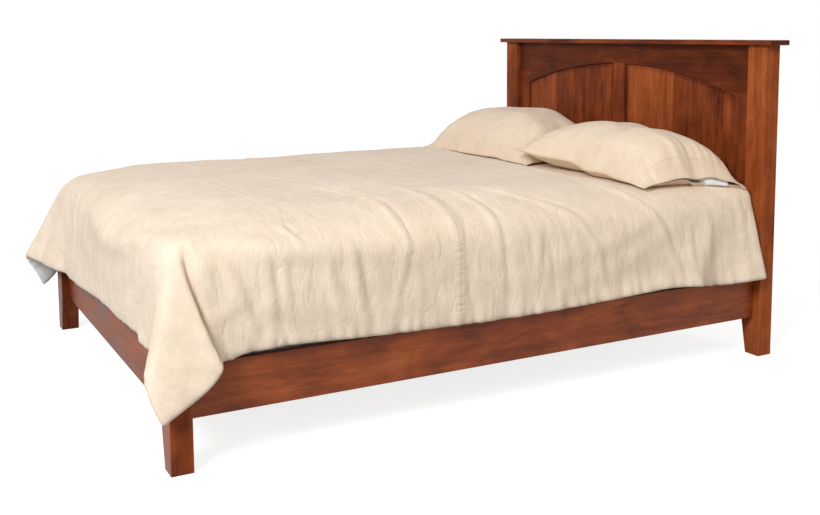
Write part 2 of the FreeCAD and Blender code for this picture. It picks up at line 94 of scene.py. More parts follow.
# Corners of each case where it lies, as seen from above: front inner, front outer, back inner, back outer
PILLOW_CORNERS = {
    "left": ((0.018, 0.618, 0.625), (-0.822, 0.600, 0.624), (-0.020, 1.054, 0.655), (-0.790, 1.054, 0.630)),
    "right": ((-0.045, 0.585, 0.690), (0.732, 0.612, 0.622), (0.022, 1.054, 0.650), (0.786, 1.050, 0.590)),
}
# How far each edge is drawn in at its middle, and how far it rises there
PILLOW_DRAWN = {
    "left": {"front": (0.030, 0.0), "back": (-0.010, 0.008),
             "inner": (0.026, 0.006), "outer": (0.020, 0.010)},
    "right": {"front": (0.030, 0.004), "back": (-0.010, 0.008),
              "inner": (0.026, 0.006), "outer": (0.022, 0.036)},
}


# Shader helpers

def arithmetic(operation, backwards=False):
    """Method of a signal that makes a Math node."""
    def method(self, *others):
        values = (self, *others)
        return math_node(operation, *(values[::-1] if backwards else values))
    return method


class Signal:
    """Output of a shader node. Arithmetic on signals makes Math nodes."""

    def __init__(self, tree, socket):
        self.tree = tree
        self.socket = socket

    __add__ = __radd__ = arithmetic("ADD")
    __mul__ = __rmul__ = arithmetic("MULTIPLY")
    __sub__ = arithmetic("SUBTRACT")
    __rsub__ = arithmetic("SUBTRACT", True)
    __truediv__ = arithmetic("DIVIDE")
    __abs__ = arithmetic("ABSOLUTE")


def add_node(tree, kind, inputs=None, **settings):
    """New shader node; inputs that are signals are linked and plain values are set."""
    made = tree.nodes.new("ShaderNode" + kind)
    for key, value in settings.items():
        setattr(made, key, value)
    for key, value in (inputs or {}).items():
        if isinstance(value, Signal):
            tree.links.new(value.socket, made.inputs[key])
        else:
            made.inputs[key].default_value = value
    return made


def signal(tree, kind, output=0, inputs=None, **settings):
    """One output of a new shader node."""
    return Signal(tree, add_node(tree, kind, inputs, **settings).outputs[output])


def math_node(operation, *values):
    tree = next(value.tree for value in values if isinstance(value, Signal))
    return signal(tree, "Math", 0, dict(enumerate(values)), operation=operation)


def components(vector):
    """X, Y and Z of a vector."""
    made = add_node(vector.tree, "SeparateXYZ", {0: vector})
    return [Signal(vector.tree, socket) for socket in made.outputs]


def noise(vector, scale, place=(0, 0, 0), detail=4.0, rough=0.55, distortion=0.0):
    """Noise stretched by a scale for each axis."""
    mapped = signal(vector.tree, "Mapping", 0, {"Vector": vector, "Scale": scale, "Location": place})
    inputs = {"Vector": mapped, "Scale": 1.0, "Detail": detail, "Roughness": rough, "Distortion": distortion}
    return signal(vector.tree, "TexNoise", 0, inputs)


def ramp(value, stops):
    """Colours between stops, each a place and a colour."""
    made = add_node(value.tree, "ValToRGB", {0: value})
    elements = made.color_ramp.elements
    while len(elements) < len(stops):
        elements.new(0.5)
    for element, (place, colour) in zip(elements, stops):
        element.position = place
        element.color = (*colour, 1)
    return Signal(value.tree, made.outputs[0])


def mix_colour(factor, a, b, blend="MIX"):
    return signal(a.tree, "Mix", 2, {0: factor, 6: a, 7: b}, data_type="RGBA", blend_type=blend)


def rescale(value, low, high, to_low=0.0, to_high=1.0):
    return signal(value.tree, "MapRange", 0, {0: value, 1: low, 2: high, 3: to_low, 4: to_high})


def empty_tree(owner):
    """Node tree of a material or world, with nothing in it."""
    owner.use_nodes = True
    owner.node_tree.nodes.clear()
    return owner.node_tree


def new_material(name):
    """Node material with a Principled shader wired to its output."""
    material = bpy.data.materials.new(name)
    tree = empty_tree(material)
    shader = add_node(tree, "BsdfPrincipled")
    add_node(tree, "OutputMaterial", {0: Signal(tree, shader.outputs[0])})
    return material, tree, shader


def connect(value, shader, name):
    value.tree.links.new(value.socket, shader.inputs[name])


def set_values(shader, values):
    """Constants on the sockets of a shader."""
    for name, value in values.items():
        shader.inputs[name].default_value = value


def bump(shader, height, strength, distance):
    """Relief on top of any relief that the shader has already."""
    inputs = {"Height": height, "Strength": strength, "Distance": distance}
    made = add_node(height.tree, "Bump", inputs)
    for link in shader.inputs["Normal"].links:
        height.tree.links.new(link.from_socket, made.inputs["Normal"])
    connect(Signal(height.tree, made.outputs[0]), shader, "Normal")


# Wood: stained and lacquered, with grain along one axis

STAIN = ((0.20, (0.030, 0.0065, 0.0022)), (0.42, (0.110, 0.022, 0.0060)),
         (0.58, (0.240, 0.051, 0.0120)), (0.80, (0.420, 0.110, 0.0290)))
PALE_WOOD = ((0.20, (0.30, 0.19, 0.10)), (0.45, (0.50, 0.36, 0.22)),
             (0.60, (0.60, 0.46, 0.30)), (0.85, (0.70, 0.57, 0.40)))
END_GRAIN = (0.42, 0.46, 0.52, 1)
LACQUER_ROUGH = (0.30, 0.44)
BARE_ROUGH = (0.55, 0.75)
GLUE_LINE = (0.0002, 0.0012)


def along_grain(grain, across, along):
    """Values for the three axes: one along the grain and one for both axes across it."""
    values = [across] * 3
    values["XYZ".index(grain)] = along
    return values


def wood(name, grain, seed, stops, tone=0.0, gloss=1.0, board=0.0, joint=0.0):
    """Wood with streaks, pores and blotches; boards of a given width take tones of their own, and faces of a
    panel turned away from Y, such as its bevels, are darkened as painted shade.
    """
    material, tree, shader = new_material(name)
    place = signal(tree, "TexCoord", "Object")
    facing = signal(tree, "NewGeometry", "Normal")
    shift = [seed * 1.37, seed * 2.11, seed * 0.73]
    if board:
        x, _, z = components(place)
        count = (x - joint) / board
        index = math_node("FLOOR", count)
        within = math_node("FRACT", count)
        seam = math_node("MINIMUM", within, 1.0 - within) * board
        place = signal(tree, "CombineXYZ", 0, {0: x, 1: index * 0.61, 2: z})
    streak = noise(place, along_grain(grain, 52.0, 3.0), shift, 6.0, 0.65, 0.9)
    flame = noise(place, along_grain(grain, 15.0, 1.3), shift, 4.0, 0.55, 2.4)
    blotch = noise(place, along_grain(grain, 9.0, 5.0), shift, 4.0, 0.55, 0.6)
    pore = noise(place, along_grain(grain, 460.0, 34.0), shift, 3.0, 0.7)
    mineral = noise(place, along_grain(grain, 26.0, 3.4), [part + 4.0 for part in shift], 3.0, 0.5, 0.6)
    value = 0.20 * streak + 0.20 * flame + 0.38 * blotch + 0.22 * pore
    value = 1.25 * (value - 0.5) + (0.55 + tone) - rescale(mineral, 0.60, 0.80, 0.0, 0.16)
    if board:
        board_tone = 0.075 * math_node("COSINE", 2.2 * index + 2.2)
        # Painted shade: on panels, faces turned away from Y, such as the bevels, are darkened by their facing
        bevel_shade = rescale(abs(components(facing)[1]), 0.95, 0.99, 0.09, 0.0)
        value = value + board_tone - rescale(seam, *GLUE_LINE, 0.12, 0.0) - bevel_shade
    colour = ramp(value, stops)
    axis = along_grain(grain, 0.0, 1.0)
    dot = signal(tree, "VectorMath", "Value", {0: facing, 1: axis}, operation="DOT_PRODUCT")
    at_end = rescale(abs(dot), 0.75, 0.95)
    connect(mix_colour(at_end, colour, mix_colour(1.0, colour, END_GRAIN, "MULTIPLY")), shader, "Base Color")
    connect(rescale(blotch, 0.25, 0.75, *(LACQUER_ROUGH if gloss else BARE_ROUGH)), shader, "Roughness")
    if gloss:
        set_values(shader, {"Specular IOR Level": 0.14 * gloss})
        set_values(shader, {"Coat Weight": 0.07 * gloss, "Coat Roughness": 0.24})
    bump(shader, pore, 0.25, 0.0004)
    return material


def speckled(name, scale, detail, dark, light, rough, metallic=0.0, relief=0.0):
    """Plated steel or moulded plastic: fine mottling in colour and gloss."""
    material, tree, shader = new_material(name)
    mottle = noise(signal(tree, "TexCoord", "Object"), (scale, scale, scale), detail=detail)
    connect(ramp(mottle, ((0.3, dark), (0.7, light))), shader, "Base Color")
    connect(rescale(mottle, 0.3, 0.7, *rough), shader, "Roughness")
    set_values(shader, {"Metallic": metallic})
    if relief:
        bump(shader, mottle, 0.3, relief)
    return material


# Cloth: plain weave along the cut of the cloth, with slubs and soft mottling

STITCH_TURN = 1500.0


def cloth(name, dark, light, thread, weave=0.5, mottle_share=0.5, hem_at=0.0, seam_at=0.0, crumple=0.0):
    """Woven cloth. Its threads follow the UV map named flat, which holds metres along the cut."""
    material, tree, shader = new_material(name)
    flat = signal(tree, "UVMap", uv_map="flat")
    u, v, _ = components(flat)
    turn = 2 * math.pi / thread
    over = math_node("SINE", u * turn) * math_node("SINE", v * turn)
    warp = noise(flat, (900.0, 30.0, 1.0), detail=3.0, rough=0.6)
    weft = noise(flat, (30.0, 900.0, 1.0), (3.1, 1.7, 0), detail=3.0, rough=0.6)
    slub = 0.5 * (warp + weft)
    cloud = noise(flat, (16.0, 16.0, 1.0), detail=6.0, rough=0.68, distortion=0.3)
    broad = noise(flat, (3.2, 3.2, 1.0), (5.0, 2.0, 0), detail=2.0)
    tint = mottle_share * (0.35 * broad + 0.65 * cloud) + (1.0 - mottle_share) * slub
    colour = ramp(tint, ((0.39, dark), (0.61, light)))
    height = 0.25 * weave * over + slub
    thread_colour = (*[0.6 * part for part in dark], 1)
    if hem_at:
        stitch = rescale(abs(u - hem_at), 0.0008, 0.0022, 1.0, 0.0)
        dash = rescale(math_node("SINE", v * STITCH_TURN), -0.3, 0.1)
        colour = mix_colour(0.35 * stitch * dash, colour, thread_colour)
        height = height - 1.2 * stitch
    if seam_at:
        apart = abs(v - seam_at)
        line = rescale(apart, 0.0010, 0.0040, 1.0, 0.0)
        tucks = noise(flat, (85.0, 14.0, 1.0), (2.0, 0.5, 0), detail=1.0)
        tucks = tucks * rescale(apart, 0.0, 0.030, 1.3, 0.0)
        # Painted shade: a thin dark line in the seam's groove, drawn in the thread colour
        colour = mix_colour(0.07 * line, colour, thread_colour)
        bump(shader, tucks - 0.35 * line, 0.8, 0.004)
    connect(colour, shader, "Base Color")
    connect(rescale(slub, 0.3, 0.7, 0.95, 0.82), shader, "Roughness")
    set_values(shader, {"Specular IOR Level": 0.12, "Sheen Weight": 0.15, "Sheen Roughness": 0.45})
    if crumple:
        rough = noise(flat, (11.0, 26.0, 1.0), (1.3, 4.2, 0), detail=3.0, rough=0.5, distortion=0.8)
        fine = noise(flat, (30.0, 64.0, 1.0), (2.6, 0.9, 0), detail=3.0, rough=0.6, distortion=0.6)
        bump(shader, rough - 1.4 * abs(rough - 0.5) + 0.40 * fine, crumple, 0.012)
    bump(shader, height, 0.35, 0.0009)
    return material


LINEN_DARK = (0.705, 0.556, 0.405)
LINEN_LIGHT = (0.850, 0.706, 0.550)
CASE_SHADE = (0.970, 0.948, 0.918)
CASE_TONES = [[x * y for x, y in zip(CASE_SHADE, tone)] for tone in (LINEN_DARK, LINEN_LIGHT)]
HEM_AT = CASE_LENGTH - HEM_BAND
duvet_cloth = cloth("duvet_fabric", LINEN_DARK, LINEN_LIGHT, 0.0012, seam_at=SEAM_AT, crumple=0.25)
lining_cloth = cloth("duvet_lining", (0.70, 0.69, 0.66), (0.80, 0.79, 0.76), 0.0008, mottle_share=0.35)
case_cloth = cloth("pillowcase_fabric", *CASE_TONES, 0.0012, hem_at=HEM_AT, crumple=0.20)
ticking = cloth("pillow_ticking", (0.78, 0.78, 0.77), (0.86, 0.86, 0.85), 0.0007, mottle_share=0.3)
knit = cloth("mattress_fabric", (0.72, 0.71, 0.68), (0.82, 0.81, 0.79), 0.0016, 1.0, 0.3)
woven = cloth("foundation_fabric", (0.60, 0.58, 0.54), (0.70, 0.68, 0.64), 0.0014, 1.0, 0.3)


# Finish of the CAD nodes

# Grain direction, tone and gloss of each stained piece
WOOD_LOOK = {
    "headboard_post_left": ("Z", 0.01, 0.3),
    "headboard_post_right": ("Z", 0.09, 0.3),
    "headboard_cap": ("X", -0.06, 0.4),
    "headboard_top_rail": ("X", -0.14, 0.3),
    "headboard_bottom_rail": ("X", -0.02, 0.3),
    "headboard_stile_left": ("Z", -0.04, 0.3),
    "headboard_stile_right": ("Z", -0.04, 0.3),
    "headboard_stile_center": ("Z", -0.01, 0.3),
    "foot_post_left": ("Z", -0.10, 0.5),
    "foot_post_right": ("Z", 0.0, 0.5),
    "foot_rail": ("X", -0.02, 0.30),
    "side_rail_left": ("Y", 0.02, 1.3),
    "side_rail_right": ("Y", 0.02, 1.3),
}
# Panels: width of their boards, one joint between boards, tone and gloss
PANEL_BOARD = 0.27
PANEL_JOINT = {"headboard_panel_left": -0.44, "headboard_panel_right": 0.33}
PANEL_TONE = -0.01
PANEL_GLOSS = 0.3


def finish_nodes():
    metal = speckled("hardware_steel", 160.0, 5.0, (0.50, 0.50, 0.49), (0.66, 0.66, 0.67), (0.28, 0.46),
                     metallic=1.0)
    plastic = speckled("leveler_plastic", 900.0, 2.0, (0.016, 0.016, 0.017), (0.030, 0.030, 0.031),
                       (0.5, 0.65), relief=0.0003)
    pale = {axis: wood("support_wood_" + axis, axis, 3.0, PALE_WOOD, gloss=0.0) for axis in "XYZ"}
    for index, (name, node) in enumerate(sorted(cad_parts.items())):
        stained = "frame_wood_" + name
        seed = 1.0 + index
        if name in WOOD_LOOK:
            grain, tone, gloss = WOOD_LOOK[name]
            chosen = wood(stained, grain, seed, STAIN, tone, gloss)
        elif name in PANEL_JOINT:
            chosen = wood(stained, "Z", seed, STAIN, PANEL_TONE, PANEL_GLOSS, PANEL_BOARD, PANEL_JOINT[name])
        elif "screws" in name or "plate" in name or name in ("leg_bolts", "leg_inserts"):
            chosen = metal
        elif name.startswith("leveler"):
            chosen = plastic
        elif name.startswith("slat_"):
            chosen = pale["X"]
        elif name.startswith("cleat_") or name == "center_beam":
            chosen = pale["Y"]
        else:
            chosen = pale["Z"]
        node.data.materials.clear()
        node.data.materials.append(chosen)


# Mesh helpers

def new_object(name, vertices, faces, materials):
    mesh = bpy.data.meshes.new(name)
    mesh.from_pydata([tuple(v) for v in vertices], [], faces)
    mesh.update()
    made = bpy.data.objects.new(name, mesh)
    bpy.context.scene.collection.objects.link(made)
    for material in materials:
        mesh.materials.append(material)
    mesh.shade_smooth()
    return made


def fetched(items, name, width, kind=float):
    """One attribute of all items as an array with a row for each."""
    values = np.empty(len(items) * width, kind)
    items.foreach_get(name, values)
    return values.reshape(-1, width)


def places(obj):
    return fetched(obj.data.vertices, "co", 3)


def normals(obj):
    return fetched(obj.data.vertices, "normal", 3)


def loop_corners(obj):
    """Vertex number at each corner of each face."""
    return fetched(obj.data.loops, "vertex_index", 1, int).ravel()


def set_places(obj, points):
    obj.data.vertices.foreach_set("co", np.asarray(points, float).ravel())
    obj.data.update()


def set_flat_map(obj, coordinates):
    """UV map named flat, from the flat place of each vertex in metres."""
    layer = obj.data.uv_layers.new(name="flat")
    layer.data.foreach_set("uv", np.asarray(coordinates, float)[loop_corners(obj)].ravel())


def apply_modifiers(obj):
    """Puts the mesh that the modifiers give in the place of the object's own."""
    graph = bpy.context.evaluated_depsgraph_get()
    made = bpy.data.meshes.new_from_object(obj.evaluated_get(graph))
    obj.modifiers.clear()
    old = obj.data
    obj.data = made
    bpy.data.meshes.remove(old)
    obj.data.shade_smooth()


def ease(value):
    """Smooth rise from 0 to 1."""
    value = np.clip(value, 0, 1)
    return value * value * (3 - 2 * value)


def net_faces(net, flip=False):
    """Quads between neighbours in a grid of vertex numbers."""
    quads = np.stack([net[:-1, :-1], net[:-1, 1:], net[1:, 1:], net[1:, :-1]], -1).reshape(-1, 4)
    return (quads[:, ::-1] if flip else quads).tolist()


def relaxed(points, columns, rows, share, rounds):
    """Grid points drawn a little towards the mean of their neighbours, with the rim held."""
    net = points.reshape(rows + 1, columns + 1, 3).copy()
    for _ in range(rounds):
        mean = (net[:-2, 1:-1] + net[2:, 1:-1] + net[1:-1, :-2] + net[1:-1, 2:]) / 4
        net[1:-1, 1:-1] += share[1:-1, 1:-1, None] * (mean - net[1:-1, 1:-1])
    return net.reshape(-1, 3)


# Simulation

def weigh(obj, name, weights):
    """Vertex group with a weight for each vertex."""
    group = obj.vertex_groups.new(name=name)
    for index, weight in enumerate(weights):
        group.add([index], float(weight), "REPLACE")


def settle(obj, frames, held, bending, mass, distance, rest=None, gravity=1.0, pressure=0.0, pressed=None):
    """Runs Cloth on an object against the colliders in the scene and keeps the last shape."""
    modifier = obj.modifiers.new("settle", "CLOTH")
    made = modifier.settings
    made.quality = 5
    made.mass = mass
    made.air_damping = 2.0
    made.tension_stiffness = made.compression_stiffness = 30.0
    made.shear_stiffness = 9.0
    made.bending_stiffness = bending
    made.tension_damping = made.compression_damping = made.shear_damping = 6.0
    made.bending_damping = 0.8
    made.effector_weights.gravity = gravity
    if rest is not None:
        obj.shape_key_add(name="Basis")
        key = obj.shape_key_add(name="cut")
        key.data.foreach_set("co", np.asarray(rest, float).ravel())
        made.rest_shape_key = key
    weigh(obj, "held", held)
    made.vertex_group_mass = "held"
    made.pin_stiffness = 0.6
    if pressure:
        weigh(obj, "pressed", pressed)
        made.use_pressure = True
        made.uniform_pressure_force = pressure
        made.vertex_group_pressure = "pressed"
    contact = modifier.collision_settings
    contact.collision_quality = 3
    contact.distance_min = distance
    contact.friction = 12.0
    modifier.point_cache.frame_start = 1
    modifier.point_cache.frame_end = frames
    scene = bpy.context.scene
    scene.frame_start = 1
    scene.frame_end = frames
    for number in range(1, frames + 1):
        scene.frame_set(number)
    graph = bpy.context.evaluated_depsgraph_get()
    solved = obj.evaluated_get(graph).data
    solved_places = fetched(solved.vertices, "co", 3)
    obj.modifiers.clear()
    obj.vertex_groups.clear()
    if rest is not None:
        obj.shape_key_clear()
    set_places(obj, solved_places)
    scene.frame_set(1)


def collider(name, vertices, faces):
    made = new_object(name, vertices, faces, [])
    made.modifiers.new("contact", "COLLISION")
    made.collision.thickness_outer = 0.001
    made.collision.thickness_inner = 0.05
    made.collision.cloth_friction = 20.0
    return made


def block_mesh(low, high):
    xs, ys, zs = zip(low, high)
    vertices = [(x, y, z) for z in zs for y in ys for x in xs]
    faces = [(0, 2, 3, 1), (4, 5, 7, 6), (0, 1, 5, 4), (2, 6, 7, 3), (0, 4, 6, 2), (1, 3, 7, 5)]
    return vertices, faces


def rounded_outline(half, y0, y1, corner, steps=7):
    """Points round a rectangle with round corners."""
    points = []
    for cx, cy, start in ((half - corner, y1 - corner, 0), (corner - half, y1 - corner, 90),
                          (corner - half, y0 + corner, 180), (half - corner, y0 + corner, 270)):
        for i in range(steps):
            angle = math.radians(start + 90 * i / (steps - 1))
            points.append((cx + corner * math.cos(angle), cy + corner * math.sin(angle)))
    return points


def stacked_rings(rings):
    """Vertices and faces of a closed shape through rings of equal count."""
    vertices = [point for ring in rings for point in ring]
    net = np.arange(len(vertices)).reshape(len(rings), -1)
    walls = net_faces(np.pad(net, ((0, 0), (0, 1)), mode="wrap"))
    return vertices, [net[0, ::-1].tolist(), net[-1].tolist()] + walls


# Mattress and foundation

BLOCK_VOXEL = 0.014
RIM_TURNS = 6
QUILT_PITCH = 0.17
TUCK_PITCH = 0.05
PIPING_RADIUS = 0.0045
PIPING_INSET = 0.0015
PIPING_SIDES = 10


def quilted_block(name, low, high, corner, edge, material, quilt):
    """Upholstered block: rounded rims, slightly full sides and a quilted top."""
    half = high[0]
    turns = [math.radians(90 * i / RIM_TURNS) for i in range(RIM_TURNS + 1)]
    rims = [(edge * (1 - math.sin(turn)), low[2] + edge * (1 - math.cos(turn))) for turn in turns]
    rims += [(edge * (1 - math.cos(turn)), high[2] - edge * (1 - math.sin(turn))) for turn in turns]
    rings = []
    for inset, z in rims:
        outline = rounded_outline(half - inset, low[1] + inset, high[1] - inset, corner)
        rings.append([(x, y, z) for x, y in outline])
    made = new_object(name, *stacked_rings(rings), [material])
    remesh = made.modifiers.new("even", "REMESH")
    remesh.mode = "VOXEL"
    remesh.voxel_size = BLOCK_VOXEL
    apply_modifiers(made)
    points = places(made)
    x, y, z = points.T
    middle = (low[2] + high[2]) / 2
    share = np.clip((z - middle) / (high[2] - middle), -1, 1)
    from_end = np.minimum(high[1] - y, y - low[1])
    rim = np.minimum(half - np.abs(x), from_end)
    on_top = ease((share - 0.86) / 0.14) * ease((rim - 0.03) / 0.05)
    puff = np.sin(math.pi * (x + y) / QUILT_PITCH) * np.sin(math.pi * (x - y) / QUILT_PITCH)
    points[:, 2] += on_top * (quilt * (np.sqrt(np.abs(puff)) - 0.55))
    side = 1 - ease((np.abs(share) - 0.62) / 0.2)
    tuck = 0.0025 * np.abs(np.sin(math.pi * (z - low[2]) / TUCK_PITCH)) - 0.003
    sideways = np.sign(x) * (np.abs(x) > half - 0.02)
    endways = np.where(y > 0, 1, -1) * (from_end < 0.02)
    points += (side * tuck)[:, None] * np.stack([sideways, endways, 0 * x], 1)
    set_places(made, points)
    set_flat_map(made, np.stack([x + z, y + z], 1))
    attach(made, "frame")
    return made


def piping(name, low, high, corner, z, material):
    """Round cord sewn along the rim of an upholstered block."""
    y0, y1 = low[1] + PIPING_INSET, high[1] - PIPING_INSET
    outline = rounded_outline(high[0] - PIPING_INSET, y0, y1, corner, 9)
    count = len(outline)
    vertices = []
    coordinates = []
    for i, (x, y) in enumerate(outline):
        ahead, behind = outline[(i + 1) % count], outline[i - 1]
        out = Vector((ahead[1] - behind[1], behind[0] - ahead[0])).normalized()
        for k in range(PIPING_SIDES):
            angle = 2 * math.pi * k / PIPING_SIDES
            reach = PIPING_RADIUS * math.cos(angle)
            vertices.append((x + out.x * reach, y + out.y * reach, z + PIPING_RADIUS * math.sin(angle)))
            coordinates.append((x + y, PIPING_RADIUS * angle))
    net = np.arange(len(vertices)).reshape(count, PIPING_SIDES)
    faces = net_faces(np.pad(net, ((0, 1), (0, 1)), mode="wrap"))
    made = new_object(name, vertices, faces, [material])
    set_flat_map(made, coordinates)
    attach(made, "frame")
    return made


def upholstery():
    """Both blocks. Their numbers: corner and edge radius, height of quilting, inset of the piping."""
    blocks = (("mattress", "mattress_quilted", *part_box("mattress"), 0.06, 0.026, 0.007, 0.026, knit),
              ("foundation", "foundation_covered", *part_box("foundation"), 0.04, 0.010, 0.001, 0.012, woven))
    for node, piece, low, high, corner, edge, quilt, _, material in blocks:
        made = quilted_block(piece, low, high, corner, edge, material, quilt)
        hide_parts(node)
    for node, _, low, high, corner, _, _, inset, material in blocks:
        for word, z in (("top", high[2] - inset), ("bottom", low[2] + inset)):
            made = piping(node + "_piping_" + word, low, high, corner, z, material)


# Duvet

# Each ear: angle from the foot side in degrees, then where the cloth hangs at that angle
NEAR_EAR = (
    (0, 0.716, -1.024), (9, 0.732, -1.062), (20, 0.782, -1.104), (33, 0.824, -1.090),
    (44, 0.836, -1.044), (55, 0.856, -0.944), (64, 0.876, -0.862), (69, 0.864, -0.850),
    (76, 0.838, -0.926), (83, 0.816, -0.934), (90, 0.806, -0.905),
)
# The same for the upper part of the near ear, where it still lies close to the corner
NEAR_FLUSH = (
    (0, 0.716, -1.024), (22, 0.785, -1.060), (33, 0.830, -1.066), (44, 0.846, -1.040),
) + NEAR_EAR[5:]
FAR_EAR = (
    (0, 0.722, -1.104), (12, 0.798, -1.148), (22, 0.842, -1.138), (33, 0.844, -1.082),
    (44, 0.848, -1.024), (55, 0.864, -0.988), (66, 0.876, -0.950), (76, 0.850, -0.918),
    (84, 0.822, -0.930), (90, 0.806, -0.900),
)
EAR_REACH = 0.40
BEND_LEAD = 0.55
PLEAT_THIN = 0.86
HEM_CURL = 0.70
DRAPE_STEPS = 30

# Shares by which the bend is shorter than its full run
NEAR_SHORTER = 0.28
PLEAT_SHORTER = 0.26
FAR_SHORTER = 0.38
HEAD_SHORTER = 0.22

# Slopes at which the sides and the foot hang out, and the waves in them
SIDE_OUT = 0.045
SIDE_WAVE = 0.016
HEAD_FLARE = 0.25
FOOT_OUT = -0.06
FOOT_WAVE = 0.010

# Fullness of the cut at the sides and the foot, and the drop over which it comes
SIDE_FULL = 0.007
FOOT_FULL = 0.004
FULL_DROP = 0.30

# Heights of the filling's rolls and lumps, the gathers at the hem, and the hanging folds
ROLL_HIGH = 0.0035
LUMP_HIGH = 0.0012
GATHER_HIGH = 0.0032
SIDE_FOLD_HIGH = 0.0012
FOOT_FOLD_HIGH = 0.0009
RIPPLE_HIGH = 0.0005

# Creases as lines on the flat cloth, from the middle of the foot hem: points, then width and height
CREASES = (
    (((0.80, 0.434), (0.92, 0.476), (1.06, 0.522)), 0.018, 0.0055),
    (((0.80, 0.549), (0.93, 0.566), (1.07, 0.580)), 0.015, 0.0050),
    (((0.81, 0.602), (0.94, 0.615), (1.04, 0.626)), 0.013, 0.0040),
    (((0.70, 0.624), (0.754, 0.643), (0.81, 0.662)), 0.010, 0.0050),
    (((0.82, 0.729), (0.93, 0.754), (1.05, 0.779)), 0.017, 0.0045),
    (((0.78, 0.799), (0.94, 0.831), (1.08, 0.867)), 0.016, 0.0055),
    (((0.10, 0.919), (0.278, 0.939), (0.639, 0.979), (0.767, 0.979), (0.828, 0.989),
      (0.945, 0.958), (1.06, 0.936)), 0.012, 0.0065),
    (((0.30, 1.162), (0.70, 1.156), (0.90, 1.154), (1.09, 1.164)), 0.020, 0.0040),
    (((0.40, 1.234), (0.69, 1.289), (0.80, 1.299), (1.06, 1.309)), 0.013, 0.0065),
    (((0.78, 1.459), (0.95, 1.434), (1.04, 1.424)), 0.012, 0.0040),
    (((0.45, 1.314), (0.66, 1.454), (0.735, 1.525), (0.809, 1.612),
      (0.914, 1.670), (1.08, 1.706)), 0.014, 0.0070),
    (((0.55, 1.754), (0.762, 1.873), (0.87, 1.941), (0.972, 1.976), (1.092, 2.029)), 0.013, 0.0070),
    (((0.85, 2.060), (0.95, 2.056), (1.09, 2.052)), 0.011, 0.0050),
    (((0.80, 2.154), (0.93, 2.134), (1.05, 2.144)), 0.017, 0.0045),
    (((-0.10, 0.659), (0.011, 0.663), (0.538, 0.665), (0.66, 0.669)), 0.010, 0.0030),
    (((-0.20, 0.814), (0.16, 0.994), (0.40, 1.174)), 0.016, 0.0030),
    (((-0.40, 1.314), (-0.05, 1.394), (0.30, 1.534)), 0.016, 0.0030),
    (((-0.76, 0.634), (-0.92, 0.614), (-1.08, 0.574)), 0.014, 0.0055),
    (((-0.60, 0.994), (-0.80, 1.064), (-1.08, 1.134)), 0.013, 0.0065),
    (((-0.74, 1.414), (-0.90, 1.394), (-1.08, 1.444)), 0.014, 0.0055),
    (((-0.66, 1.734), (-0.84, 1.814), (-1.08, 1.854)), 0.013, 0.0065),
    (((-0.50, 0.314), (-0.44, 0.194), (-0.42, 0.034)), 0.016, 0.0040),
    (((0.08, 0.354), (0.10, 0.214), (0.06, 0.034)), 0.016, 0.0030),
)


def toward_head(t):
    """Share by which the duvet sinks under the pillows, for places along its length."""
    return ease((t - HEAD_SINK_FROM) / HEAD_SINK_RUN)


def toward_far(s):
    """Share of the far side's softer bend at the foot, for places across the duvet."""
    return ease((FAR_FROM - s) / FAR_OVER)


def foot_bend(s):
    """Where the duvet starts to bend down at the foot, which is earlier on the far side."""
    return FOOT_BEND_AT + FAR_EASE * toward_far(s)


def ear_run(near, angle):
    """Length over which a corner bends down; the tucked part of the near pleat bends sooner."""
    degrees = np.degrees(angle)
    near_share = 1 - NEAR_SHORTER * ease(degrees / 30) - PLEAT_SHORTER * ease((degrees - 60) / 14)
    far_run = BEND_RUN + FAR_RUN * np.cos(angle) ** 2 - FAR_SHORTER * BEND_RUN * ease((degrees - 64) / 20)
    return np.where(near, BEND_RUN * near_share, far_run)


def ear_draw(near, degrees):
    """Share of its length that a corner hangs down; its filling draws the tips up a little."""
    near_tip = 0.035 * np.exp(-((degrees - 67) / 7) ** 2)
    far_tip = 0.035 * np.exp(-((degrees - 42) / 20) ** 2)
    return 1 - np.where(near, near_tip, far_tip)


def ear_hang(points, angle, near):
    """Direction in which a corner of the sheet hangs, for angles from its foot side."""
    points = np.array(points)
    fine = np.linspace(0, 90, 181)
    rounding = np.hanning(21)
    rounding /= rounding.sum()
    target = []
    for k in (1, 2):
        line = np.interp(fine, points[:, 0], points[:, k])
        padded = np.pad(line, 10, mode="reflect", reflect_type="odd")
        target.append(np.interp(np.degrees(angle), fine, np.convolve(padded, rounding, "valid")))
    apex = np.array([SIDE_BEND_AT, foot_bend(SIDE_BEND_AT if near else -SIDE_BEND_AT)])
    level = np.stack([np.sin(angle), -np.cos(angle)], 1)
    run = ear_run(near, angle)[:, None]
    reach = EAR_REACH + (0.0 if near else FAR_EASE * np.cos(angle)[:, None] ** 2)
    return (np.stack(target, 1) - apex - BEND_LEAD * run * level) / (reach - BEND_LEAD * run)


def waves(along, seed):
    """Uneven waves of about unit height."""
    mixed = np.zeros_like(along)
    for share, length, phase in ((0.5, 0.19, 1.3), (0.32, 0.127, 4.1), (0.25, 0.31, 0.4), (0.16, 0.083, 2.2)):
        mixed += share * np.sin(2 * math.pi * along / length + phase * seed)
    return mixed


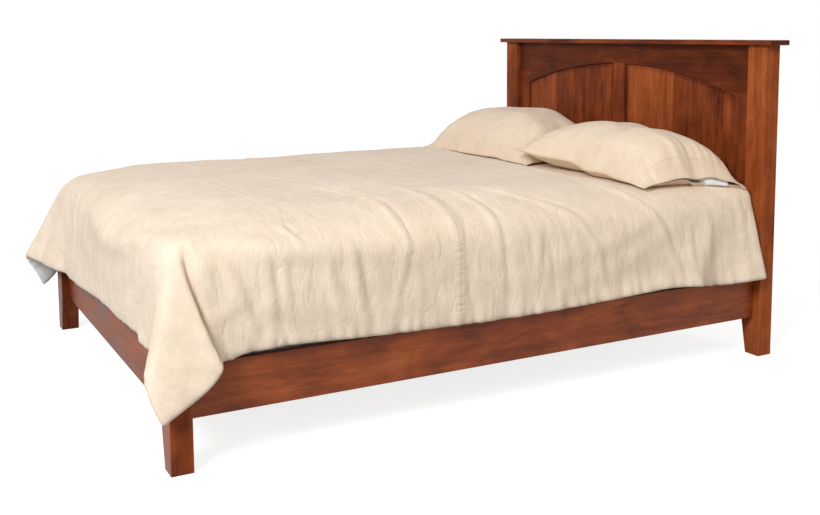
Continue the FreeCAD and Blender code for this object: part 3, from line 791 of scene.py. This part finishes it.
def duvet_start():
    """Flat grid of the duvet, its draped start, its cut with some fullness, and how firmly it is held."""
    columns = round(DUVET_WIDTH / DUVET_CELL)
    rows = round(DUVET_LENGTH / DUVET_CELL)
    across = np.linspace(-DUVET_WIDTH / 2, DUVET_WIDTH / 2, columns + 1)
    s, t = (part.ravel() for part in np.meshgrid(across, np.linspace(0, DUVET_LENGTH, rows + 1)))
    near = s > 0
    sign = np.where(near, 1.0, -1.0)

    # Part on the mattress, and the length and direction of what hangs over its edge
    side_at = SIDE_BEND_AT - HEAD_ROUND * near * toward_head(t)
    inside = np.clip(s, -side_at, side_at)
    head_shift = FOOT_BEND_AT - FOOT_DROP
    bend_y = foot_bend(inside)
    over_side = np.maximum(np.abs(s) - side_at, 0)
    over_foot = np.maximum(bend_y - head_shift - t, 0)
    length = np.hypot(over_side, over_foot)
    angle = np.arctan2(over_side, over_foot)
    degrees = np.degrees(angle)
    y = np.maximum(t + head_shift, bend_y)
    from_apex = np.hypot(SIDE_BEND_AT - np.abs(inside), y - bend_y)
    droop = CORNER_DROOP * np.exp(-(from_apex / 0.12) ** 2)
    points = np.stack([inside, y, DUVET_LEVEL - droop - HEAD_SINK * toward_head(t)], 1)
    level = np.stack([sign * np.sin(angle), -np.cos(angle), 0 * s], 1)
    corner = (over_side > 0) & (over_foot > 0)
    side = (over_side > 0) & ~corner
    foot = (over_foot > 0) & ~corner

    # Slopes at which it hangs; the sides and the foot lead into the ears
    ends = np.array([0.0, math.pi / 2])
    near_foot, near_side = ear_hang(NEAR_EAR, ends, True)
    far_foot, far_side = ear_hang(FAR_EAR, ends, False)
    side_end = np.where(near[:, None], near_side, far_side)
    foot_end = np.where(near[:, None], near_foot, far_foot)
    hang = np.where(near[:, None], ear_hang(NEAR_EAR, angle, True), ear_hang(FAR_EAR, angle, False))
    to_foot = 1 - ease((y - bend_y) / 0.28)
    flare = HEAD_FLARE * ease((y - 0.80) / 0.26)
    side_out = SIDE_OUT + flare + (side_end[:, 0] - SIDE_OUT) * to_foot
    side_out += SIDE_WAVE * waves(y, 1.0 + near) * (1 - to_foot)
    turn_run = np.where(near, 0.17, 0.34)
    to_side = ease((np.abs(s) - SIDE_BEND_AT) / turn_run + 1)
    foot_out = FOOT_OUT + (foot_end[:, 1] - FOOT_OUT) * to_side + FOOT_WAVE * waves(s, 3.0) * (1 - to_side)
    hang[side] = np.stack([side_out, side_end[:, 1] * to_foot], 1)[side]
    hang[foot] = np.stack([foot_end[:, 0] * to_side, foot_out], 1)[foot]
    flush = hang.copy()
    flush[corner & near] = ear_hang(NEAR_FLUSH, angle, True)[corner & near]
    hang[:, 0] *= sign
    flush[:, 0] *= sign

    # Walk out from the edge, bending down
    run = ear_run(near, angle)
    shorter = np.where(near, NEAR_SHORTER + PLEAT_SHORTER, FAR_SHORTER) * to_foot
    run[side] = (BEND_RUN * (1 - shorter - HEAD_SHORTER * near * toward_head(t)))[side]
    run[foot] = (BEND_RUN + FAR_RUN * toward_far(s))[foot]
    curl = np.where(corner & near, HEM_CURL * np.exp(-((degrees - 70) / 10) ** 2), 0)
    drawn_up = np.where(corner, ear_draw(near, degrees), 1.0)
    for k in range(DRAPE_STEPS):
        reach = (k + 0.5) / DRAPE_STEPS * length
        lower = ease((reach - 0.14) / 0.22)[:, None]
        turned = (1 - lower) * flush + lower * hang
        turned[:, 1] -= curl * ease((reach - length + 0.12) / 0.12)
        down = np.column_stack([turned, -np.sqrt(np.maximum(1 - (turned ** 2).sum(1), 0.05))])
        share = ease(reach / run)[:, None]
        way = (1 - share) * level + share * down
        way /= np.linalg.norm(way, axis=1)[:, None]
        points += way * (length * drawn_up / DRAPE_STEPS)[:, None]

    # Cut, and hold at the foot corners and the head end
    fullness = SIDE_FULL * ease(over_side / FULL_DROP) * waves(t, 1.0 + near)
    fullness += FOOT_FULL * ease(over_foot / FULL_DROP) * waves(s, 3.0)
    apart = np.hypot(np.maximum(SIDE_BEND_AT - np.abs(s), 0), np.maximum(y - bend_y, 0))
    from_head = DUVET_LENGTH - t
    at_head = (1 - ease(from_head / 0.15)) * ease(over_side / 0.06)
    at_head = np.maximum(at_head, 1 - ease((from_head - 0.06) / 0.26))
    hold = np.maximum((1 - ease(apart / 0.26)) ** 1.5, at_head)
    return columns, rows, np.stack([s, t], 1), points, np.stack([s, t, fullness], 1), hold


def duvet_formers():
    """Shapes that the duvet lies on while it settles: the full mattress, the rails and the posts."""
    half = RAIL_FACE + 0.002
    foot = FOOT_RAIL_FACE - 0.004
    head = HEAD_POST_FACE + 0.25
    top = DUVET_LEVEL - DUVET_THICK / 2 - DUVET_GAP
    rings = []
    for z, inset in ((0.13, 0.0), (0.40, 0.0), (0.47, 0.003), (top - 0.060, 0.016), (top - 0.032, 0.036),
                     (top - 0.014, 0.062), (top - 0.004, 0.100), (top, 0.16)):
        outline = rounded_outline(half - inset, foot + inset, head - inset, 0.065, 9)
        rings.append([(x, y, z) for x, y in outline])
    made = [collider("former_mattress", *stacked_rings(rings))]
    for side in (-1, 1):
        low_x, high_x = sorted((side * FOOT_POST_LOW[0], side * (FOOT_POST_HIGH[0] + 0.001)))
        post = block_mesh((low_x, FOOT_POST_LOW[1] - 0.001, 0.0), (high_x, *FOOT_POST_HIGH[1:]))
        made.append(collider("former_post", *post))
    return made


def crease_height(flat):
    """Height of all creases at places of the flat cloth. Each is a soft ridge with a hollow beside it."""
    total = np.zeros(len(flat))
    for line, width, height in CREASES:
        line = np.array(line)
        run = np.concatenate([[0], np.cumsum(np.hypot(*np.diff(line, axis=0).T))])
        nearest = np.full(len(flat), 9.0)
        aside = np.zeros(len(flat))
        along = np.zeros(len(flat))
        for a, b, start in zip(line[:-1], line[1:], run[:-1]):
            step = b - a
            size = np.hypot(*step)
            share = np.clip((flat - a) @ step / size ** 2, 0, 1)
            offset = flat - a - share[:, None] * step
            distance = np.hypot(*offset.T)
            closer = distance < nearest
            nearest = np.where(closer, distance, nearest)
            hand = np.sign(step[0] * offset[:, 1] - step[1] * offset[:, 0])
            aside = np.where(closer, hand * distance, aside)
            along = np.where(closer, start + share * size, along)
        fade = ease(along / (0.3 * run[-1])) * ease(1.3 - along / run[-1])
        ridge = np.exp(-(nearest / width) ** 2) - 0.6 * np.exp(-((aside - 1.7 * width) / (1.2 * width)) ** 2)
        total += height * fade * ridge
    return total


def pleats(along):
    """Uneven upright folds between -1 and 1."""
    wave = np.sin(67 * along + 2.6 * np.sin(8.3 * along)) * (0.55 + 0.45 * np.sin(5.1 * along + 1.0))
    return np.sign(wave) * np.abs(wave) ** 0.8


def filling(s, t):
    """Broad rolls and small lumps of the filling."""
    rolls = np.sin(7.1 * s + 1.7 * np.sin(3.1 * t)) * np.sin(5.3 * t + 1.9 * np.sin(4.3 * s + 0.6))
    lumps = np.sin(23 * s + 2.1 * np.sin(11 * t + 1.0)) * np.sin(19 * t + 2.3 * np.sin(13 * s))
    return ROLL_HIGH * rolls + LUMP_HIGH * lumps


def hem_gathers(s, t, sideways):
    """Puckers along the hem, fuller at the sides than at the foot."""
    edge = np.minimum(DUVET_WIDTH / 2 - np.abs(s), t)
    at_side = np.sin(118 * t + 2.2 * np.sin(31 * t)) + 0.7 * np.sin(71 * t + 1.3 * np.sin(17 * t))
    at_foot = np.sin(104 * s + 2.2 * np.sin(27 * s)) + 0.7 * np.sin(63 * s + 1.3 * np.sin(15 * s))
    return GATHER_HIGH * (at_side * sideways + 0.45 * at_foot * (1 - sideways)) * np.exp(-edge / 0.035)


def hanging_folds(s, t, sideways):
    """Faint upright folds of the sides and the foot, with patches of finer ripples at the sides."""
    out = np.abs(s)
    drop = np.maximum(out - 0.73, 0)
    side_fold = pleats(t - 0.25 * (out - 0.76) + 0.05 * np.sin(9 * s + 2 * t))
    folds = SIDE_FOLD_HIGH * side_fold * ease((out - 0.76) / 0.12) * sideways
    folds += FOOT_FOLD_HIGH * pleats(s + 0.05 * np.sin(9 * t)) * ease((0.30 - t) / 0.12) * (1 - sideways)
    patch = ease(0.5 + 0.9 * np.sin(5.3 * t + 1.7 * np.sin(2.9 * t) + s))
    ripple = np.sin(131 * t + 3.5 * np.sin(17 * t) - 14 * drop + 5 * drop * np.sin(3.3 * t + 0.7))
    return folds + RIPPLE_HIGH * patch * ease(drop / 0.06) * sideways * ripple


def loft(flat, places_now):
    """Height of the filling's crown, its unevenness, the creases, the folds and the gathers along the hem."""
    s, t = flat.T
    x, y, z = places_now.T
    on_top = ease((z - 0.55) / 0.03)
    under_pillow = ease((y - 0.52) / 0.10) * on_top
    free = (1 - under_pillow) * (1 - 0.95 * in_pleat(flat))
    sideways = ease(0.5 + (t - DUVET_WIDTH / 2 + np.abs(s)) / 0.30)
    across = np.where(x > 0, ease((0.750 - x) / 0.19), ease((0.795 + x) / 0.13))
    crown = DUVET_CROWN * across * ease((y + 0.95) / 0.24) * on_top
    relief = crown + filling(s, t) + crease_height(flat) + hanging_folds(s, t, sideways)
    return relief * free + hem_gathers(s, t, sideways)


def flat_places(obj):
    """Flat place of each vertex, from the UV map."""
    flat = np.zeros((len(obj.data.vertices), 2))
    flat[loop_corners(obj)] = fetched(obj.data.uv_layers["flat"].data, "uv", 2)
    return flat


def in_pleat(flat):
    """Nearness of a flat place to the pleats at the foot corners, where the filling is pressed thin."""
    over_side = np.maximum(np.abs(flat[:, 0]) - SIDE_BEND_AT, 0)
    over_foot = np.maximum(FOOT_DROP - flat[:, 1], 0)
    angle = np.degrees(np.arctan2(over_side, over_foot))
    return np.exp(-((angle - 72) / 17) ** 2) * ease(over_side / 0.05) * ease(over_foot / 0.03)


def make_duvet():
    columns, rows, flat, start, cut, hold = duvet_start()
    net = np.arange(len(start)).reshape(rows + 1, columns + 1)
    duvet = new_object("duvet_cover", start, net_faces(net), [duvet_cloth, lining_cloth])
    to_corner = [DUVET_WIDTH / 2, 0]
    set_flat_map(duvet, flat + to_corner)
    formers = duvet_formers()
    clear = DUVET_THICK / 2 + DUVET_GAP - 0.001
    settle(duvet, DUVET_FRAMES, rest=cut, held=hold, bending=4.0, mass=0.25, distance=clear)
    for made in formers:
        bpy.data.objects.remove(made)
    loose = 0.15 + 0.35 * (1 - hold).reshape(rows + 1, columns + 1)
    set_places(duvet, relaxed(places(duvet), columns, rows, loose, 6))
    duvet.modifiers.new("smooth", "SUBSURF").levels = 1
    apply_modifiers(duvet)
    flat = flat_places(duvet) - to_corner
    points = places(duvet)
    set_places(duvet, points + normals(duvet) * loft(flat, points)[:, None])
    s, t = flat.T
    edge = np.minimum(np.minimum(DUVET_WIDTH / 2 - np.abs(s), t), DUVET_LENGTH - t)
    rounding = np.sqrt(1 - (1 - np.clip(edge / 0.03, 0, 1)) ** 2)
    weigh(duvet, "swell", rounding * (1 - PLEAT_THIN * in_pleat(flat)))
    thick = duvet.modifiers.new("filling", "SOLIDIFY")
    thick.thickness = DUVET_THICK
    thick.offset = 0.0
    thick.vertex_group = "swell"
    thick.thickness_vertex_group = 0.3
    thick.material_offset = 1
    thick.material_offset_rim = 0
    apply_modifiers(duvet)
    flat = flat_places(duvet) - to_corner
    turned_in = (in_pleat(flat) > 0.12) & (flat[:, 0] > 0)
    for face in duvet.data.polygons:
        if turned_in[list(face.vertices)].all():
            face.material_index = 0
    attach(duvet, "duvet")
    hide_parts("duvet")


# Pillows

def pillow_nets():
    """Vertex numbers of a pillow's two layers, which share their rim, and the flat place of each vertex."""
    columns = round(CASE_LENGTH / CASE_CELL)
    rows = round(CASE_DEPTH / CASE_CELL)
    u, v = np.meshgrid(np.linspace(0, CASE_LENGTH, columns + 1), np.linspace(0, CASE_DEPTH, rows + 1))
    inner = (slice(1, -1), slice(1, -1))
    top = np.arange(u.size).reshape(u.shape)
    under = top.copy()
    under[inner] = u.size + np.arange(u[inner].size).reshape(u[inner].shape)
    flat = np.stack([np.concatenate([a.ravel(), a[inner].ravel()]) for a in (u, v)], 1)
    layer = np.concatenate([np.ones(u.size), -np.ones(u[inner].size)])
    return top, under, flat, layer


def pillow_object(name, points, top, under, side, materials):
    return new_object(name, points, net_faces(top, side < 0) + net_faces(under, side > 0), materials)


def edge_distances(u, v):
    """Distances of flat places on a case from its nearer end and from its nearer long edge."""
    return np.minimum(u, CASE_LENGTH - u), np.minimum(v, CASE_DEPTH - v)


def rounded_corner(u, v):
    """Shares along length and depth, with the corners of the rectangle drawn onto a round."""
    from_u, from_v = edge_distances(u, v)
    in_u, in_v = np.maximum(CASE_CORNER - from_u, 0), np.maximum(CASE_CORNER - from_v, 0)
    shrink = np.minimum(1, np.maximum(in_u, in_v) / np.maximum(np.hypot(in_u, in_v), 1e-9))
    new_u = np.where(in_u > 0, CASE_CORNER - in_u * shrink, from_u)
    new_v = np.where(in_v > 0, CASE_CORNER - in_v * shrink, from_v)
    u = np.where(u < CASE_LENGTH / 2, new_u, CASE_LENGTH - new_u)
    v = np.where(v < CASE_DEPTH / 2, new_v, CASE_DEPTH - new_v)
    return u / CASE_LENGTH, v / CASE_DEPTH


def duvet_top(points):
    """Height of the top of the duvet below given places, with its sunk head end and its rounded sides."""
    x, y = points[:, 0], points[:, 1]
    sunk = toward_head(y + FOOT_DROP - FOOT_BEND_AT)
    over = np.maximum(np.abs(x) - SIDE_BEND_AT + np.where(x > 0, HEAD_ROUND, 0) * sunk, 0)
    return DUVET_LEVEL + DUVET_THICK / 2 - HEAD_SINK * sunk - np.where(x > 0, 75, 48) * over ** 3


def pillow_rest(word, u, v):
    """Places on the smooth sheet spanned by the rim of a case, for shares along its length and depth."""
    front_in, front_out, back_in, back_out = (np.array(c) for c in PILLOW_CORNERS[word])
    outward = np.sign(front_out[0])

    def drawn(edge, share, axis, toward):
        pull, rise = PILLOW_DRAWN[word][edge]
        moved = np.zeros((len(share), 3))
        bowed = np.sin(math.pi * share)
        uneven = np.sin(13 * share + 3 * outward) + 0.6 * np.sin(29 * share + outward)
        moved[:, axis] = toward * pull * bowed ** 0.7 + 0.005 * uneven * bowed
        moved[:, 2] = rise * bowed ** 0.8 + 0.0030 * (uneven + np.sin(21 * share)) * bowed
        return moved

    u, v = rounded_corner(np.clip(u, 0, 1) * CASE_LENGTH, np.clip(v, 0, 1) * CASE_DEPTH)
    a, b = u[:, None], v[:, None]
    flat_sheet = (front_in * (1 - a) + front_out * a) * (1 - b) + (back_in * (1 - a) + back_out * a) * b
    pulled = drawn("front", u, 1, 1) * (1 - b) + drawn("back", u, 1, 1) * b
    pulled += drawn("inner", v, 0, outward) * (1 - a) + drawn("outer", v, 0, -outward) * a
    return flat_sheet + pulled


def pillow_wrinkles(flat, seed):
    """Heights on the upper layer: soft hollows, a crease along the front and creases at the ends."""
    a, b = flat.T
    soft = 0.0025 * np.sin(9 * a + 2 * np.sin(5 * b + seed)) * np.sin(8 * b + 1.5 * np.sin(6 * a + seed))
    ends = 0.0058 * np.sin(128 * b + 2.5 * np.sin(14 * b + seed)) * np.exp((a - CASE_LENGTH) / 0.085)
    line = 0.066 + 0.010 * np.sin(8 * a + seed)
    fade = ease((a - 0.05) / 0.12) * ease((0.72 - a) / 0.12)
    front = -0.0075 * np.exp(-((b - line) / 0.016) ** 2) * fade
    rays = 0
    for corner in (0.0, CASE_LENGTH):
        reach = np.hypot(a - corner, b)
        turn = np.arctan2(b, np.abs(a - corner))
        rays = rays + 0.0035 * np.sin(15 * turn + 1.3 * seed + 9 * corner) * np.exp(-(reach / 0.22) ** 2)
    return soft + ends + front + rays


def settled_pillow(word):
    """A full pillow, its side, and both its layers as grids of places; their length ends at the open end."""
    top, under, flat, layer = pillow_nets()
    side = 1 if word == "right" else -1
    u, v = flat[:, 0] / CASE_LENGTH, flat[:, 1] / CASE_DEPTH
    from_u, from_v = edge_distances(*flat.T)
    rim = np.minimum(from_u, from_v)
    full = ease((rim - 0.5 * CASE_MARGIN) / CASE_MARGIN)
    points = pillow_rest(word, u, v)
    lengthways = (1 - np.abs(2 * u - 1) ** np.where(u > 0.5, 4.4, 2.7)) ** 0.56
    depthways = (1 - np.abs(2 * v ** 1.08 - 1) ** np.where(v > 0.53, 3.2, 2.6)) ** 0.55
    tips = 1 - 0.9 * np.exp(-(np.hypot(from_u, from_v) / 0.055) ** 2)
    dome = lengthways * depthways * full ** 0.35 * tips
    points[:, 2] += np.where(layer > 0, PILLOW_CROWN[word] * dome, -0.05 * dome ** 0.6)
    points[:, 2] = np.maximum(points[:, 2], duvet_top(points) + PILLOW_GAP)
    pillow = pillow_object("pillow", points, top, under, side, [])
    held = 1 - ease(rim / 0.012)
    settle(pillow, PILLOW_FRAMES, held=held, bending=0.3, mass=0.15, distance=0.003, gravity=0.0,
           pressure=PILLOW_PRESSURE, pressed=full * np.where(layer > 0, 1.0, UNDER_SHARE))
    moved = places(pillow) - points
    reach = np.maximum(np.linalg.norm(moved, axis=1), 1e-9)
    set_places(pillow, points + moved * np.minimum(1, PILLOW_SWELL / reach)[:, None])
    smooth = np.full(top.shape, 0.5)
    rows, columns = top.shape[0] - 1, top.shape[1] - 1
    now = places(pillow)
    upper, lower = (relaxed(now[net].reshape(-1, 3), columns, rows, smooth, 12) for net in (top, under))
    upper[:, 2] += (pillow_wrinkles(flat, side) * full)[top.ravel()]
    for layer_points in (upper, lower):
        layer_points[:, 2] = np.maximum(layer_points[:, 2], duvet_top(layer_points) + PILLOW_GAP)
    pillow.modifiers.new("contact", "COLLISION")
    pillow.collision.thickness_outer = 0.001
    return pillow, side, upper.reshape(*top.shape, 3), lower.reshape(*top.shape, 3)


def sampled(grid, u, v):
    """Places on a grid layer at flat places, between its points."""
    rows, columns = grid.shape[:2]
    a = np.clip(u / CASE_LENGTH * (columns - 1), 0, columns - 1.001)
    b = np.clip(v / CASE_DEPTH * (rows - 1), 0, rows - 1.001)
    i, j = a.astype(int), b.astype(int)
    p, q = (a - i)[..., None], (b - j)[..., None]
    low = grid[j, i] * (1 - p) + grid[j, i + 1] * p
    high = grid[j + 1, i] * (1 - p) + grid[j + 1, i + 1] * p
    return low * (1 - q) + high * q


def layer_normals(grid, outward):
    """Unit normals of a grid layer, turned to one side."""
    along = np.gradient(grid, axis=1)
    across = np.gradient(grid, axis=0)
    found = np.cross(along, across)
    found /= np.maximum(np.linalg.norm(found, axis=2), 1e-9)[..., None]
    return found * outward


def make_case(word, side, upper, lower):
    """Pillowcase: one thin shell, sewn on three sides and open at its outer end."""
    top, under, flat, _ = pillow_nets()
    count = len(flat)
    points = np.zeros((count, 3))
    points[top.ravel()] = upper.reshape(-1, 3)
    points[under.ravel()] = lower.reshape(-1, 3)
    mouth = top[1:-1, -1]
    under[1:-1, -1] = count + np.arange(len(mouth))
    share = flat[mouth, 1] / CASE_DEPTH
    wide = 0.15 + 0.85 * ease((share - 0.42) / 0.26) * ease((1 - share) / 0.07)
    drawn_back = sampled(lower, CASE_LENGTH - MOUTH_BACK * wide, flat[mouth, 1])
    drawn_back[:, 2] -= 0.010 * wide
    points = np.concatenate([points, drawn_back])
    points[mouth, 2] += MOUTH_LIFT * wide
    flat = np.concatenate([flat, flat[mouth]])
    case = pillow_object("pillowcase_" + word + "_linen", points, top, under, side, [case_cloth])
    set_flat_map(case, flat)
    case.modifiers.new("smooth", "SUBSURF").levels = 1
    thick = case.modifiers.new("cloth", "SOLIDIFY")
    thick.thickness = CASE_THICK
    thick.offset = -1.0
    apply_modifiers(case)
    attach(case, "pillow_" + word)
    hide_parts("pillowcase_" + word)


def make_insert(word, side, upper, lower):
    """Filled pillow inside its case, clear of the case all round."""
    top, under, flat, layer = pillow_nets()
    inset = CASE_MARGIN * 0.8
    a, b = flat[:, 0] / CASE_LENGTH, flat[:, 1] / CASE_DEPTH
    round_u = 1 + 1.3 * np.abs(2 * b - 1) ** 4
    round_v = 1 + 1.3 * np.abs(2 * a - 1) ** 4
    from_hem = INSERT_FROM_HEM * (1 - 0.8 * ease((b - 0.55) / 0.2) * ease((1 - b) / 0.08))
    u = inset * round_u + a * (CASE_LENGTH - inset * round_u - from_hem)
    v = inset * round_v + b * (CASE_DEPTH - 2 * inset * round_v)
    rim = np.minimum(*edge_distances(*flat.T))
    roundness = np.sqrt(1 - (1 - np.clip(rim / 0.06, 0, 1)) ** 2)
    depth = CASE_THICK + INSERT_GAP
    above = sampled(upper - depth * layer_normals(upper, side), u, v)
    below = sampled(lower + depth * layer_normals(lower, side), u, v)
    middle = (above + below) / 2
    half = (above - below) / 2
    open_here = ease((half[:, 2] - 0.001) / 0.004)
    reach = np.where(rim > 0, layer * roundness * open_here, 0)[:, None]
    points = middle + reach * half
    shown = ease((u - CASE_LENGTH + MOUTH_BACK) / 0.03)
    shown = shown * ease((b - 0.58) / 0.14) * ease((1 - b) / 0.04)
    points[:, 0] += side * 0.006 * shown * (rim == 0)
    points[:, 2] -= 0.030 * shown * np.where(rim > 0, 0.5 - 0.5 * layer, 0.5)
    points[:, 2] = np.maximum(points[:, 2], duvet_top(points) + PILLOW_GAP)
    insert = pillow_object("pillow_insert_" + word + "_filled", points, top, under, side, [ticking])
    set_flat_map(insert, flat)
    insert.modifiers.new("smooth", "SUBSURF").levels = 1
    apply_modifiers(insert)
    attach(insert, "pillow_" + word)
    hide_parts("pillow_insert_" + word)


def make_pillows():
    """Two pillows on the duvet against the headboard. The right one lies on the inner end of the left one."""
    settled = {word: settled_pillow(word) for word in ("left", "right")}
    for pillow, *_ in settled.values():
        bpy.data.objects.remove(pillow)
    for word, (_, *layers) in settled.items():
        make_insert(word, *layers)
        make_case(word, *layers)


# Stage, light and camera

FLOOR_HALF = 30.0
FLOOR_COLOUR = (0.42, 0.42, 0.42, 1)
FLOOR_GLOW = 0.80
WHITE = (1, 1, 1, 1)
AMBIENT = 0.48
SENSOR = 36.0


def seen_directly(tree):
    """One for rays from the camera, in reflections and through glass; zero for the light on surfaces."""
    path = add_node(tree, "LightPath")
    kinds = ("Camera", "Glossy", "Transmission")
    seen, glossy, through = (Signal(tree, path.outputs["Is " + kind + " Ray"]) for kind in kinds)
    return math_node("MAXIMUM", seen, math_node("MAXIMUM", glossy, through))


def stage():
    """Floor that shows as white and keeps a soft shadow."""
    corners = [(x * FLOOR_HALF, y * FLOOR_HALF, 0) for x, y in ((-1, -1), (1, -1), (1, 1), (-1, 1))]
    material = bpy.data.materials.new("floor")
    tree = empty_tree(material)
    plain = signal(tree, "BsdfDiffuse", 0, {"Color": FLOOR_COLOUR})
    strength = seen_directly(tree) * FLOOR_GLOW
    glow = signal(tree, "Emission", 0, {"Color": WHITE, "Strength": strength})
    both = signal(tree, "AddShader", 0, {0: plain, 1: glow})
    add_node(tree, "OutputMaterial", {0: both})
    floor = new_object("floor", corners, [(0, 1, 2, 3)], [material])


def world_light():
    """White background that lights surfaces less than it shows."""
    world = bpy.data.worlds.new("studio")
    bpy.context.scene.world = world
    tree = empty_tree(world)
    strength = rescale(seen_directly(tree), 0.0, 1.0, AMBIENT, 1.0)
    back = signal(tree, "Background", 0, {"Color": WHITE, "Strength": strength})
    add_node(tree, "OutputWorld", {0: back})


def lamp(name, place, target, size, level, colour):
    """Soft square lamp that adds about its level to a white surface facing it at the target."""
    reach = (Vector(target) - Vector(place)).length
    data = bpy.data.lights.new(name, "AREA")
    data.shape = "SQUARE"
    data.size = size
    data.energy = level * math.pi ** 2 * reach ** 2
    data.color = colour
    made = bpy.data.objects.new(name, data)
    made.location = place
    made.rotation_mode = "QUATERNION"
    made.rotation_quaternion = (Vector(target) - Vector(place)).to_track_quat("-Z", "Y")
    bpy.context.scene.collection.objects.link(made)


def camera(place, yaw, pitch, roll, lens, shift):
    """Camera turned left from +Y by yaw, tilted down by pitch and rolled, all in degrees."""
    yaw, pitch, roll = (math.radians(a) for a in (yaw, pitch, roll))
    tilt = Matrix.Rotation(math.pi / 2 - pitch, 4, "X")
    turn = Matrix.Rotation(yaw, 4, "Z") @ tilt @ Matrix.Rotation(roll, 4, "Z")
    data = bpy.data.cameras.new("camera")
    data.lens = lens
    data.sensor_width = SENSOR
    data.shift_x, data.shift_y = shift
    made = bpy.data.objects.new("camera", data)
    made.matrix_world = Matrix.Translation(place) @ turn
    bpy.context.scene.collection.objects.link(made)
    bpy.context.scene.camera = made


bpy.context.scene.view_settings.view_transform = "Standard"
finish_nodes()
upholstery()
make_duvet()
make_pillows()
stage()
world_light()
lamp("key", (3.1, -4.55, 4.05), (0.0, -0.2, 0.5), size=2.4, level=0.86, colour=(0.97, 1.0, 1.07))
lamp("fill", (5.0, 2.6, 2.6), (0.0, 0.2, 0.5), size=2.5, level=0.12, colour=(1.0, 0.90, 0.78))
camera((3.484, -1.710, 1.154), yaw=61.090, pitch=6.465, roll=-0.235, lens=46.525, shift=(-0.0297, -0.1287))
